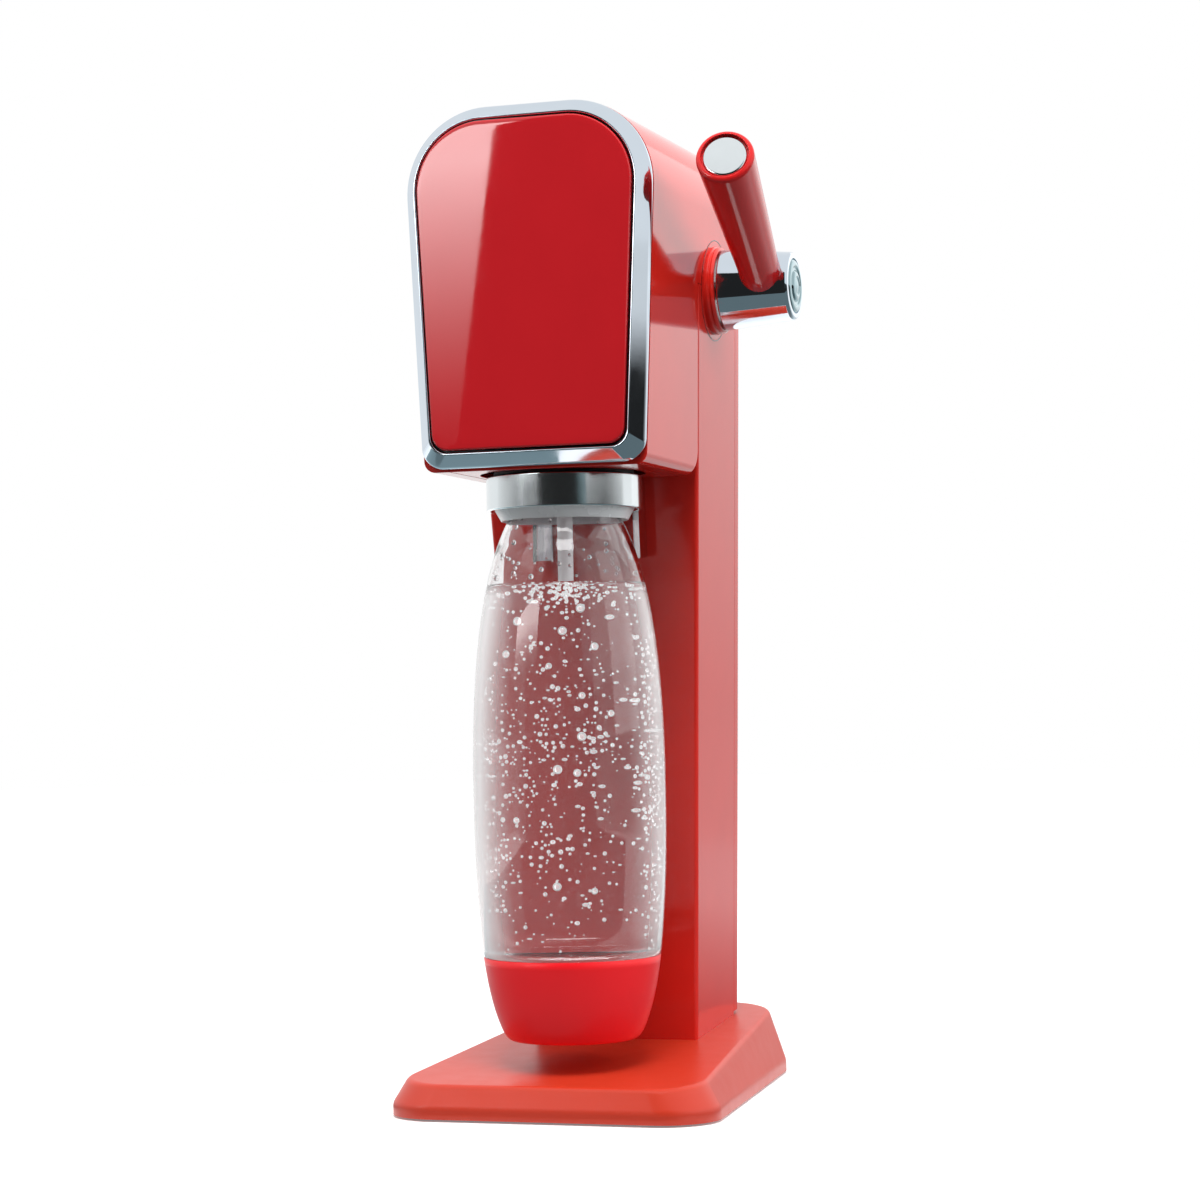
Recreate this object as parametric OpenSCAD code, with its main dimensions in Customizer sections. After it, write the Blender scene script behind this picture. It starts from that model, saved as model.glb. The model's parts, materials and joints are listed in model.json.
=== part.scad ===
// Countertop soda carbonator: raked column on a sloping base, overhanging head, lever on the right side,
// tilting bottle holder, gas cylinder inside the column behind a removable rear cover.
// The origin is the centre of the base's footprint, on the surface that the rubber foot ring rests on.
// +Z is up and the front panel faces -Y.

/* [Base] */
// Depth of the base, front to back
base_d = 210; // [200:1:220]
// Half of the base's width along its front edge
base_front_half = 73.5; // [70:0.5:76]
// Half of the base's width along its rear edge
base_rear_half = 56.5; // [54:0.5:60]
// Corner radius at the front of the base
base_front_r = 23; // [18:1:28]
// Corner radius at the rear of the base
base_rear_r = 30; // [24:1:34]
// Height of the upright band round the base, above the surface it stands on
base_band_z = 5.9; // [5.5:0.1:8]
// Height of the base's top face at its front edge
base_top_front_z = 15.1; // [14:0.1:17]
// Slope of the base's top face, rising to the back, in degrees
base_slope = 4.55; // [3.5:0.05:5]
// Wall of the moulded casings
wall = 2.5; // [2:0.1:3]

/* [Column] */
// Distance from the base's front edge to the foot of the column
col_setback = 108; // [106:0.5:110]
// Depth of the column, square to its rake
col_depth = 71; // [70:0.5:74]
// Forward lean of the column, in degrees
rake = 4.9; // [4.5:0.1:5.2]
// Half of the body's width at its foot
foot_half = 37.6; // [37.5:0.1:39]
// Widening of each side per unit of height
flare = 0.0455; // [0.044:0.0005:0.047]
// Depth of the rear cover's side returns
cover_depth = 9.8; // [9:0.1:12]

/* [Head] */
// Height of the head's underside
head_bottom_z = 271.4; // [270.8:0.1:272]
// Height of the head's top at the front
head_front_top_z = 424.8; // [422:0.1:425]
// Height of the head's top at the back, the overall height
head_top_z = 428; // [426:0.5:430]
// Corner radius of the head's top edges
head_top_r = 36; // [30:1:38]
// Width of the chrome bezel, seen from the front
bezel_w = 6.4; // [6:0.1:7]
// Width of the dark joint between bezel and front panel
gasket_w = 0.9; // [0.8:0.1:1.2]

/* [Lever] */
// Distance from the base's front edge to the lever's axis
hub_setback = 106.8; // [106:0.1:107.5]
// Height of the lever's axis
hub_z = 355.4; // [355:0.1:356]
// Radius of the hub where it meets the body
hub_r = 17.9; // [17:0.1:18.5]
// Radius of the hub at its outer end
hub_end_r = 14.9; // [14.5:0.1:15.5]
// Length of the handle from the lever's axis
handle_len = 113.5; // [105:0.5:118]
// Radius of the handle where it leaves the hub
handle_r = 9.2; // [9:0.1:9.4]
// Radius of the handle at its free end
handle_end_r = 12.15; // [11:0.05:12.5]
// Rise of the handle above level at rest, in degrees
handle_rise = 20.6; // [18:0.1:24]
// Outward splay of the handle, in degrees
handle_splay = 5.7; // [4:0.1:7]

/* [Bottle and holder] */
// Distance from the base's front edge to the bottle's axis
bottle_setback = 48.3; // [48:0.1:49]
// Outer radius of the silver ring
ring_r = 33.5; // [33:0.1:34]
// Height of the silver ring's lower edge
ring_z = 255.9; // [255:0.1:256.5]
// Height of the silver ring
ring_h = 14.7; // [14:0.1:14.8]
// Height of the holder's tilt axis
tilt_z = 279; // [278:0.5:280]
// Height of the bottle's underside
bottle_z = 30; // [29:0.5:32]
// Height of the bottle's mouth
mouth_z = 285.8; // [285:0.1:285.8]
// Wall of the bottle
bottle_wall = 1.2; // [1:0.1:1.6]
// Height of the bottle cup's rim
cup_z = 65.5; // [60:0.5:70]
// Outer radius of the nozzle tube
nozzle_r = 3.35; // [3:0.05:3.6]
// Height of the nozzle's lower end
nozzle_z = 224; // [220:1:230]

/* [Gas cylinder] */
// Outer radius of the gas cylinder
cyl_r = 30; // [29:0.5:30.5]
// Height of the cylinder's base above the surface, on its axis
cyl_z0 = 8; // [8:0.5:9]

/* [Hidden] */
$fn = 96;
EPS = 0.01;
FAR = 600;
BALL_FN = 32;
SPRING_SIDES = 6;
SPRING_STEPS = 12;

foot_z = 20;
col_foot_z = 22;
foot_ring_h = 2;
shell_lift = 1;
plate_z = foot_ring_h;
plate_h = 2.5;
base_bevel_front = 3.5;
base_bevel_side = 6.4;
base_bevel_rear = 7.3;
screw_r = 1.5;
screw_head_r = 3;
screw_play = 0.05;
fit_gap = 0.2;

// y of a point that lies d behind the base's front edge
function fy(d) = d - base_d / 2;
front_y = fy(0);
rear_y = fy(base_d);
bottle_y = fy(bottle_setback);
hub_y = fy(hub_setback);

// half of the body's width at height z, and its side face's angle from upright
function body_half(z) = foot_half + (z - foot_z) * flare;
side_angle = atan(flare);
hub_face_x = body_half(hub_z);

// the base's top face
base_top_y0 = fy(base_bevel_front);
function base_top(y) = base_top_front_z + (y - base_top_y0) * tan(base_slope);

// The column's own frame leans with it: n runs back from the cylinder's axis and s runs up along it.
col_front_n = -col_depth / 2;
cover_n = col_depth / 2 - cover_depth;
col_rear_n = col_depth / 2;
cyl_y0 = fy(col_setback) + col_depth / 2 * cos(rake) + (col_foot_z - cyl_z0) * tan(rake)
    + col_depth / 2 * sin(rake) * tan(rake);
function col_y(n, s) = cyl_y0 + n * cos(rake) - s * sin(rake);
function col_z(n, s) = cyl_z0 + n * sin(rake) + s * cos(rake);
// y of the leaning plane n at height z
function plane_y(n, z) = cyl_y0 + n / cos(rake) - (z - cyl_z0) * tan(rake);

// stations along the gas cylinder's axis, measured from its base
cyl_wall = 3;
cyl_shoulder_s = 246;
cyl_neck_s = 272;
cyl_neck_r = 13;
cyl_top_s = 282;
neck_bore_r = 8;
cyl_bottom_r = 6;
tap_top_s = 304;
tap_r = 10.5;
tap_hex_s = 292;
pin_r = 1.5;
pin_top_s = 306.5;
pin_chamber_r = 4;
pin_chamber_s = [276, 290.2];
block_s = [293, 318];
block_r = 18;
port_s = 308;
port_r = 3;
port_reach = 24;
plunger_r = 3;
plunger_tip_s = 306.8;
plunger_head_r = 6;
plunger_head_s = 327;
plunger_ball_s = 330.1;
bracket_s = [305, 309];
bracket_n = [-38, 22];
ear_x = [8.2, 11.2];
rocker_n = -31;
rocker_s = 341;
rocker_y = col_y(rocker_n, rocker_s);
rocker_z = col_z(rocker_n, rocker_s);
running = 0.05;

// lever mechanism
axle_r = 4;
axle_x = [-47, 70];
cam_r = 8;
cam_throw = 2.7;
cam_half = 6;
cam_gap = 0.2;
rocker_top_z = hub_z - cam_r - cam_gap;
rocker_h = 4;
rocker_half = 8;
rocker_end_y = fy(123);
bush_r = 6.5;
bush_flange_r = 8.5;
plate_x = [40, 43];
hub_x = [57.9, 89.5];
escutcheon_r = 22;
escutcheon_boss_r = 19.5;
escutcheon_boss_x = 57.2;
handle_x = 75.7;
handle_seat = 8;
handle_straight = 24;
handle_cap_r = 9.5;
handle_cap_gap = 0.4;

// front of the head
front_face_y = fy(-0.4);
bezel_front_y = fy(0.6);
bezel_edge_y = fy(6.8);
shell_front_y = fy(9.5);
panel_inset = bezel_w + gasket_w;
bezel_bottom_r = 9;
bezel_lift = 1;
bezel_inset = 0.3;
head_rise = atan((head_top_z - head_front_top_z) / (plane_y(col_rear_n, head_top_z) - shell_front_y));
head_edge_r = 5;
head_gap = 0.4;
opening_r = 35;
opening_shift = 2.2;
insert_half = 38;

// holder and bottle
holder_r = 30.2;
holder_wall = 3.5;
holder_top_z = 292;
holder_ceiling_z = 288;
holder_skirt_z = 262;
tilt_pin_r = 3;
nozzle_block_r = 8;
nozzle_top_z = 300;
nipple_top_z = 306;
nozzle_bore_r = 1.2;
mouth_bore_r = 11;
seal_h = 2;
cup_gap = 0.1;
bottle_floor = 2;

// ---- shared geometry ----

// points of an arc about [cx, cy]
function arc(cx, cy, r, a0, a1, steps = 12) =
    [for (i = [0:steps]) let (a = a0 + (a1 - a0) * i / steps) [cx + r * cos(a), cy + r * sin(a)]];

function mirrored(p) = concat(p, [for (i = [len(p) - 1:-1:0]) [-p[i][0], p[i][1]]]);

// A trapezoid with rounded corners, symmetric about x = 0. Half-width w0 at y0 and w1 at y1.
function trapezoid(w0, w1, y0, y1, r0, r1) =
    let (m = (w1 - w0) / (y1 - y0), k = sqrt(1 + m * m), a = -atan(m))
    mirrored(concat(
        arc(w0 + m * r0 - r0 * k, y0 + r0, r0, -90, a),
        arc(w1 - m * r1 - r1 * k, y1 - r1, r1, a, 90)));

// the base's outline, moved in by inset
function base_points(inset) = trapezoid(
    base_front_half - inset, base_rear_half - inset,
    front_y + inset, rear_y - inset, base_front_r - inset, base_rear_r - inset);

// the body's front outline between two heights, moved in by inset
function body_points(z0, z1, inset, r0, r1) = trapezoid(
    body_half(z0) - inset, body_half(z1) - inset, z0 + inset, z1 - inset, r0, r1);

// an (x, z) outline made solid between y0 and y1
module along_y(points, y0, y1) {
    translate([0, y1, 0]) rotate([90, 0, 0]) linear_extrude(y1 - y0) polygon(points);
}

// a (y, z) outline made solid between x0 and x1
module along_x(points, x0, x1) {
    translate([x0, 0, 0]) rotate([90, 0, 90]) linear_extrude(x1 - x0) polygon(points);
}

// a cylinder along X, from x0 to x1
module rod_x(r, x0, x1, y, z) {
    translate([x0, y, z]) rotate([0, 90, 0]) cylinder(r = r, h = x1 - x0);
}

module mirror_copy() {
    children();
    mirror([1, 0, 0]) children();
}

// places children in the column's leaning frame, where z is s and y is n
module in_column() {
    translate([0, cyl_y0, cyl_z0]) rotate([rake, 0, 0]) children();
}

module on_bottle_axis() {
    translate([0, bottle_y, 0]) children();
}

// everything below the base's top face, lifted by h
module below_base_top(h = 0) {
    translate([0, base_top_y0, base_top_front_z + h]) rotate([base_slope, 0, 0])
        translate([-FAR / 2, -FAR / 2, -FAR]) cube([FAR, FAR, FAR]);
}

// a helical spring along Z, its wire's centre on radius r
module coil_spring(r, wire, turns, length) {
    n = turns * SPRING_STEPS;
    m = SPRING_SIDES;
    points = [for (i = [0:n], k = [0:m - 1])
        let (a = 360 * i / SPRING_STEPS, b = 360 * k / m, q = r + wire * cos(b))
        [q * cos(a), q * sin(a), wire + (length - 2 * wire) * i / n + wire * sin(b)]];
    walls = [for (i = [0:n - 1], k = [0:m - 1]) let (a = i * m + k, b = i * m + (k + 1) % m)
        each [[a, a + m, b], [b, a + m, b + m]]];
    polyhedron(points, concat(walls, [[for (k = [0:m - 1]) k]], [[for (k = [m - 1:-1:0]) n * m + k]]));
}

// a tube along a cubic curve in the plane x = 0
module curved_tube(p, r, rings, sides) {
    function at(t) = pow(1 - t, 3) * p[0] + 3 * pow(1 - t, 2) * t * p[1]
        + 3 * (1 - t) * t * t * p[2] + t * t * t * p[3];
    function heading(t) = 3 * (pow(1 - t, 2) * (p[1] - p[0]) + 2 * (1 - t) * t * (p[2] - p[1])
        + t * t * (p[3] - p[2]));
    points = [for (i = [0:rings], k = [0:sides - 1])
        let (c = at(i / rings), h = heading(i / rings), u = h / norm(h), b = 360 * k / sides)
        [r * cos(b), c[0] - u[1] * r * sin(b), c[1] + u[0] * r * sin(b)]];
    walls = [for (i = [0:rings - 1], k = [0:sides - 1])
        let (a = i * sides + k, b = i * sides + (k + 1) % sides)
        each [[a, b, a + sides], [b, b + sides, a + sides]]];
    polyhedron(points, concat(walls,
        [[for (k = [sides - 1:-1:0]) k]], [[for (k = [0:sides - 1]) rings * sides + k]]));
}

// ---- base ----

base_boss_spots = [[50, fy(30)], [46, fy(98)], [34, fy(184)]];
column_screw_spots = [[30.5, -28.5], [30.5, 25.5]];

// the base's outer form, moved in by inset and open to z0 below
module base_form(inset, z0) {
    hull() {
        translate([0, 0, z0]) linear_extrude(base_band_z - z0) polygon(base_points(inset));
        translate([0, base_top_y0, base_top_front_z - inset]) rotate([base_slope, 0, 0])
            translate([0, 0, -EPS]) linear_extrude(EPS) polygon(trapezoid(
                base_front_half - base_bevel_side - inset, base_rear_half - base_bevel_side - inset,
                inset, (base_d - base_bevel_front - base_bevel_rear) / cos(base_slope) - inset,
                base_front_r - inset - 2, base_rear_r - inset - 2));
    }
}

module foot_ring() {
    color("dimgray") linear_extrude(foot_ring_h) difference() {
        polygon(base_points(7));
        polygon(base_points(14));
    }
}

module base_bottom_plate() {
    color("gray") difference() {
        translate([0, 0, plate_z]) linear_extrude(plate_h) polygon(base_points(wall + fit_gap));
        mirror_copy() for (p = base_boss_spots)
            translate([p[0], p[1], 0]) cylinder(r = screw_r + fit_gap, h = FAR);
    }
}

module base_shell() {
    color("orangered") difference() {
        union() {
            difference() {
                base_form(0, shell_lift);
                base_form(wall, shell_lift - 1);
            }
            mirror_copy() for (p = base_boss_spots) translate([p[0], p[1], plate_z + plate_h])
                cylinder(r = 4, h = base_top(p[1]) - wall / 2 - plate_z - plate_h);
        }
        mirror_copy() for (p = base_boss_spots)
            translate([p[0], p[1], 0]) cylinder(r = screw_r, h = base_top(p[1]) - wall);
        in_column() translate([0, 0, -5]) cylinder(r = cyl_r + 3, h = 60);
        mirror_copy() for (p = column_screw_spots)
            in_column() translate([p[0], p[1], 0]) cylinder(r = screw_r + fit_gap, h = 40);
    }
}

module base_screws() {
    color("silver") mirror_copy() for (p = base_boss_spots) translate([p[0], p[1], 0]) {
        translate([0, 0, plate_z - 1.6]) cylinder(r = screw_head_r, h = 1.6);
        translate([0, 0, plate_z - EPS]) cylinder(r = screw_r - screw_play, h = 8);
    }
}

// ---- column and rear cover ----

// the body between the leaning planes n0 and n1 and two heights, moved in by inset
module column_form(n0, n1, z0, z1, inset) {
    intersection() {
        along_y([
            [-body_half(z0) + inset, z0], [body_half(z0) - inset, z0],
            [body_half(z1) - inset, z1], [-body_half(z1) + inset, z1]], fy(0), fy(base_d));
        along_x([
            [plane_y(n0, z0), z0], [plane_y(n1, z0), z0], [plane_y(n1, z1), z1], [plane_y(n0, z1), z1]],
            -FAR / 2, FAR / 2);
    }
}

// the round seat in the side wall that the hub's collar fills
module collar_seat(r) {
    translate([hub_face_x, hub_y, hub_z]) rotate([0, 90 + side_angle, 0])
        translate([0, 0, -8]) cylinder(r = r, h = 16);
}

column_floor = 3;
front_wall_top_z = 300;
chassis_screw_spots = [[fy(26), 300], [fy(26), 385], [fy(128), 392]];
column_boss_spot = [fy(94), 322];

module column_shell() {
    color("red") difference() {
        union() {
            difference() {
                column_form(col_front_n, cover_n - fit_gap, foot_z - 5, hub_z - fit_gap, 0);
                difference() {
                    column_form(col_front_n + wall, cover_n + 5, foot_z - 5, hub_z + 5, wall);
                    below_base_top(column_floor);
                }
            }
            mirror_copy() rod_x(4, plate_x[1], body_half(column_boss_spot[1]) - 1,
                column_boss_spot[0], column_boss_spot[1]);
        }
        below_base_top();
        translate([-body_half(hub_z) + wall, plane_y(col_front_n, hub_z) - 5, front_wall_top_z])
            cube([2 * (body_half(hub_z) - wall), 14, FAR]);
        in_column() cylinder(r = cyl_r + 3, h = 40);
        mirror_copy() for (p = column_screw_spots)
            in_column() translate([p[0], p[1], 0]) cylinder(r = screw_r, h = 40);
        mirror_copy() rod_x(screw_r, plate_x[1] - 1, body_half(column_boss_spot[1]) - wall / 2,
            column_boss_spot[0], column_boss_spot[1]);
        collar_seat(escutcheon_r + 0.15);
    }
}

module column_screws() {
    color("silver") mirror_copy() for (p = column_screw_spots)
        let (top_s = (base_top(col_y(p[1], 20)) - wall - col_z(p[1], 0)) / cos(rake) - 0.6)
        in_column() translate([p[0], p[1], top_s]) {
            translate([0, 0, -2]) cylinder(r = screw_head_r, h = 2);
            translate([0, 0, -EPS]) cylinder(r = screw_r - screw_play, h = 5);
        }
}

latch_s = [329, 337];
latch_half = 11.6;
latch_flange_half = 14;

// the bead along the cover's lower edge, on which it tilts back
cover_lift = 1.6;
bead_r = wall / 2 - 0.1;
bead_n = col_rear_n - wall / 2;
bead_z = (base_top(0) + cover_lift + plane_y(bead_n, 0) * tan(base_slope))
    / (1 + tan(rake) * tan(base_slope));
bead_y = plane_y(bead_n, bead_z);
bead_half = body_half(bead_z) - 0.5;

module rear_cover() {
    color("red") {
        difference() {
            column_form(cover_n, col_rear_n, foot_z - 5, hub_z - fit_gap, 0);
            column_form(cover_n - 5, col_rear_n - wall, foot_z - 5, hub_z - fit_gap - wall, wall);
            below_base_top(cover_lift);
            in_column() translate([-latch_half - fit_gap, cover_n, latch_s[0] - fit_gap])
                cube([2 * (latch_half + fit_gap), cover_depth + 5, latch_s[1] - latch_s[0] + 2 * fit_gap]);
        }
        rod_x(bead_r, -bead_half, bead_half, bead_y, bead_z);
    }
}

module latch_button() {
    color("darkred") in_column() {
        translate([-latch_half, col_rear_n - 5, latch_s[0]])
            cube([2 * latch_half, 5, latch_s[1] - latch_s[0]]);
        translate([-latch_flange_half, col_rear_n - wall - fit_gap - 2, latch_s[0] - 2])
            cube([2 * latch_flange_half, 2, latch_s[1] - latch_s[0] + 4]);
    }
}

// ---- gas cylinder and valve, in the column's leaning frame ----

module cylinder_seat() {
    color("dimgray") difference() {
        in_column() translate([0, 0, -8]) cylinder(r = cyl_r - 2, h = 8);
        translate([-FAR / 2, -FAR / 2, plate_z + plate_h - FAR]) cube([FAR, FAR, FAR]);
    }
}

module cylinder_body() {
    dome_r = cyl_r - cyl_neck_r;
    dome_s = cyl_neck_s - dome_r;
    color("lightpink") in_column() rotate_extrude() polygon(concat(
        [[0, 0]], arc(cyl_r - cyl_bottom_r, cyl_bottom_r, cyl_bottom_r, -90, 0),
        arc(cyl_neck_r, dome_s, dome_r, 0, 75), [[cyl_neck_r, cyl_neck_s], [cyl_neck_r, cyl_top_s]],
        [[neck_bore_r, cyl_top_s], [neck_bore_r, cyl_neck_s - 4]],
        [[cyl_neck_r, dome_s + dome_r - cyl_wall - 2]],
        arc(cyl_neck_r, dome_s, dome_r - cyl_wall, 70, 0),
        [[cyl_r - cyl_wall, cyl_bottom_r + cyl_wall], [0, cyl_bottom_r]]));
}

module cylinder_valve() {
    color("gold") in_column() difference() {
        union() {
            translate([0, 0, cyl_neck_s]) cylinder(r = neck_bore_r, h = cyl_top_s - cyl_neck_s + EPS);
            translate([0, 0, cyl_top_s]) cylinder(r = cyl_neck_r, h = tap_hex_s - cyl_top_s, $fn = 6);
            translate([0, 0, tap_hex_s - EPS]) cylinder(r = tap_r, h = tap_top_s - tap_hex_s + EPS);
        }
        translate([0, 0, pin_chamber_s[0]])
            cylinder(r = pin_chamber_r, h = pin_chamber_s[1] - pin_chamber_s[0]);
        translate([0, 0, cyl_neck_s - 1]) cylinder(r = pin_r + running, h = FAR);
    }
}

module valve_pin() {
    color("silver") in_column() {
        translate([0, 0, 280]) cylinder(r = pin_r, h = pin_top_s - 280);
        translate([0, 0, 288]) cylinder(r = pin_chamber_r - 0.4, h = 2);
    }
}

module pin_spring() {
    color("silver") in_column() translate([0, 0, pin_chamber_s[0]]) coil_spring(2.6, 0.4, 5, 11.8);
}

module cylinder_seal() {
    color("black") in_column() translate([0, 0, tap_top_s + 0.05]) difference() {
        cylinder(r = 9, h = 2);
        translate([0, 0, -1]) cylinder(r = 6, h = 4);
    }
}

module valve_block() {
    color("darkgray") in_column() difference() {
        union() {
            translate([0, 0, block_s[0]]) cylinder(r = block_r, h = block_s[1] - block_s[0]);
            translate([0, 0, port_s]) rotate([90, 0, 0]) cylinder(r = port_r + 1.5, h = port_reach);
        }
        translate([0, 0, block_s[0] - 1]) cylinder(r = tap_r + 0.1, h = tap_top_s - block_s[0] + 1.05);
        translate([0, 0, tap_top_s]) cylinder(r = 9, h = 2.1);
        translate([0, 0, tap_top_s + 2]) cylinder(r = 5, h = 4);
        translate([0, 0, block_s[0]]) cylinder(r = plunger_r + running, h = FAR);
        translate([0, 0, port_s]) rotate([90, 0, 0]) cylinder(r = 1.5, h = port_reach + 1);
    }
}

module plunger() {
    color("silver") in_column() {
        translate([0, 0, plunger_tip_s]) cylinder(r = pin_r - 0.1, h = 2);
        translate([0, 0, plunger_tip_s + 1.2])
            cylinder(r = plunger_r, h = plunger_head_s - plunger_tip_s - 1.2 + EPS);
        translate([0, 0, plunger_head_s])
            cylinder(r = plunger_head_r, h = plunger_ball_s - plunger_head_s);
        translate([0, 0, plunger_ball_s]) intersection() {
            sphere(r = plunger_head_r);
            cylinder(r = plunger_head_r + 1, h = plunger_head_r + 1);
        }
    }
}

module plunger_spring() {
    color("silver") in_column() translate([0, 0, block_s[1]])
        coil_spring(4.4, 0.55, 4, plunger_head_s - block_s[1]);
}

module valve_bracket() {
    color("lightgray") in_column() difference() {
        union() {
            translate([-plate_x[0], bracket_n[0], bracket_s[0]]) cube([
                2 * plate_x[0], bracket_n[1] - bracket_n[0], bracket_s[1] - bracket_s[0]]);
            mirror_copy() translate([ear_x[0], rocker_n - 5, bracket_s[0]])
                cube([ear_x[1] - ear_x[0], 10, rocker_s + 5 - bracket_s[0]]);
        }
        translate([0, 0, bracket_s[0] - 1]) cylinder(r = block_r + running, h = 6);
        translate([-port_r - 2, bracket_n[0] - 1, bracket_s[0] - 1])
            cube([2 * port_r + 4, -bracket_n[0] + 1, port_s + port_r + 4 - bracket_s[0]]);
        rod_x(2, -FAR / 2, FAR / 2, rocker_n, rocker_s);
    }
}

module rocker_pin() {
    color("silver") in_column() rod_x(2, -13, 13, rocker_n, rocker_s);
}

module rocker_arm() {
    color("silver") difference() {
        union() {
            translate([-rocker_half, rocker_y, rocker_top_z - rocker_h])
                cube([2 * rocker_half, rocker_end_y - rocker_y, rocker_h]);
            rod_x(5, -rocker_half, rocker_half, rocker_y, rocker_z);
        }
        rod_x(2 + running, -FAR / 2, FAR / 2, rocker_y, rocker_z);
    }
}

hose_start = [col_y(-port_reach, port_s), col_z(-port_reach, port_s)];

module gas_hose() {
    color("whitesmoke") curved_tube([
        hose_start, hose_start + [-22, -2], [bottle_y, nipple_top_z + 34], [bottle_y, nipple_top_z]],
        2.4, 20, 10);
}

// ---- head ----

module head_chassis() {
    color("darkgray") difference() {
        union() {
            mirror_copy() along_x([
                [fy(20), 274.2], [fy(72), 274.2], [fy(79), 282], [fy(79), 303], [fy(96), 306], [fy(134), 340],
                [fy(134), 398], [fy(20), 398]], plate_x[0], plate_x[1]);
            translate([-plate_x[0], fy(60), 384]) cube([2 * plate_x[0], 60, 3]);
            translate([-plate_x[0], fy(20), 384]) cube([2 * plate_x[0], 3, 14]);
        }
        rod_x(bush_r, -FAR / 2, FAR / 2, hub_y, hub_z);
        rod_x(tilt_pin_r + running, -FAR / 2, FAR / 2, bottle_y, tilt_z);
        for (p = concat(chassis_screw_spots, [column_boss_spot]))
            rod_x(screw_r + fit_gap, -FAR / 2, FAR / 2, p[0], p[1]);
        rod_x(16, -FAR / 2, FAR / 2, fy(62), 340);
    }
}

module chassis_screws() {
    color("silver") mirror_copy() for (p = concat(chassis_screw_spots, [column_boss_spot])) {
        rod_x(screw_head_r, plate_x[0] - 2, plate_x[0], p[0], p[1]);
        rod_x(screw_r - screw_play, plate_x[0] - EPS, plate_x[1] + 4, p[0], p[1]);
    }
}

// side outline of the head, moved in by inset
function head_side(inset) =
    let (
        gap = head_gap + inset,
        lower = [plane_y(col_front_n, head_bottom_z) - gap, head_bottom_z + inset],
        corner_r = 6 - min(inset, 3),
        rear_top = plane_y(col_rear_n, head_top_z) - inset)
    concat(
        [[shell_front_y, head_bottom_z + inset]],
        arc(lower[0] - corner_r - 0.5, lower[1] + corner_r, corner_r, -90, 0, 8),
        [[plane_y(col_front_n, hub_z) - gap, hub_z + inset]],
        [[plane_y(col_rear_n, hub_z) - inset, hub_z + inset]],
        arc(rear_top - 5, head_top_z - inset - 5, 5, 0, 85, 8),
        [[shell_front_y, head_front_top_z + 4 - inset]]);

module head_form(inset) {
    intersection() {
        translate([0, shell_front_y, 0]) rotate([head_rise, 0, 0])
            translate([0, -10, 0]) along_y(
                body_points(head_bottom_z - 8, head_front_top_z, inset, 1, head_top_r - inset), 0, 180);
        along_y(body_points(head_bottom_z, head_top_z + 40, inset, head_edge_r, 1), fy(0), fy(base_d));
        along_x(head_side(inset), -FAR / 2, FAR / 2);
    }
}

module head_shell() {
    color("red") difference() {
        union() {
            difference() {
                head_form(0);
                head_form(wall);
                translate([-insert_half, shell_front_y - 1, head_bottom_z - 1])
                    cube([2 * insert_half, fy(84) - shell_front_y + 1, wall + 2]);
                translate([0, shell_front_y - 1, 0]) along_y(
                    body_points(head_bottom_z, head_front_top_z, wall, 3, head_top_r - wall), 0, 3);
                // the way between head and column, for the column's valve and lever parts
                translate([-body_half(hub_z) + wall + 1, plane_y(col_front_n, hub_z) - 12, 302])
                    cube([2 * (body_half(hub_z) - wall - 1), 12 + col_depth - 2 * wall, 60]);
            }
            for (p = chassis_screw_spots) mirror_copy()
                rod_x(4, plate_x[1], body_half(p[1]) - 1.5, p[0], p[1]);
        }
        for (p = chassis_screw_spots)
            mirror_copy() rod_x(screw_r, plate_x[1] - 1, body_half(p[1]) - wall, p[0], p[1]);
        collar_seat(escutcheon_r + 0.15);
    }
}

module head_underside() {
    color("darkred") difference() {
        translate([-insert_half + 0.1, shell_front_y, head_bottom_z])
            cube([2 * (insert_half - 0.1), fy(83.9) - shell_front_y, wall]);
        // long enough towards the front for the ring to swing through
        on_bottle_axis() {
            cylinder(r = opening_r, h = FAR);
            translate([0, -opening_shift, 0]) cylinder(r = opening_r, h = FAR);
            translate([-opening_r, -opening_shift, 0]) cube([2 * opening_r, opening_shift, FAR]);
        }
    }
}

module bezel_frame() {
    color("lightsteelblue") difference() {
        hull() {
            along_y(body_points(head_bottom_z + bezel_lift, head_front_top_z, bezel_inset,
                bezel_bottom_r, head_top_r), bezel_edge_y, shell_front_y);
            along_y(body_points(head_bottom_z + bezel_lift, head_front_top_z, bezel_w - 0.6,
                bezel_bottom_r - 3, head_top_r - bezel_w), bezel_front_y, bezel_front_y + EPS);
        }
        along_y(body_points(head_bottom_z + bezel_lift, head_front_top_z, bezel_w,
            bezel_bottom_r - 2, head_top_r - bezel_w), fy(-20), fy(20));
    }
}

module panel_gasket() {
    color("black") difference() {
        along_y(body_points(head_bottom_z + bezel_lift, head_front_top_z, bezel_w,
            bezel_bottom_r - 2, head_top_r - bezel_w), fy(2), shell_front_y);
        along_y(body_points(head_bottom_z + bezel_lift, head_front_top_z, panel_inset,
            bezel_bottom_r - 2.5, head_top_r - panel_inset), fy(-20), fy(20));
    }
}

module front_panel() {
    edge = 0.8;
    color("crimson") difference() {
        hull() {
            along_y(body_points(head_bottom_z + bezel_lift, head_front_top_z, panel_inset,
                bezel_bottom_r - 2.5, head_top_r - panel_inset), front_face_y + edge, shell_front_y);
            along_y(body_points(head_bottom_z + bezel_lift, head_front_top_z, panel_inset + edge,
                bezel_bottom_r - 3, head_top_r - panel_inset - edge), front_face_y, front_face_y + EPS);
        }
        along_y(body_points(head_bottom_z + bezel_lift, head_front_top_z, panel_inset + wall,
            bezel_bottom_r - 5, head_top_r - panel_inset - wall), front_face_y + wall, fy(20));
    }
}

// ---- lever ----

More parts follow.
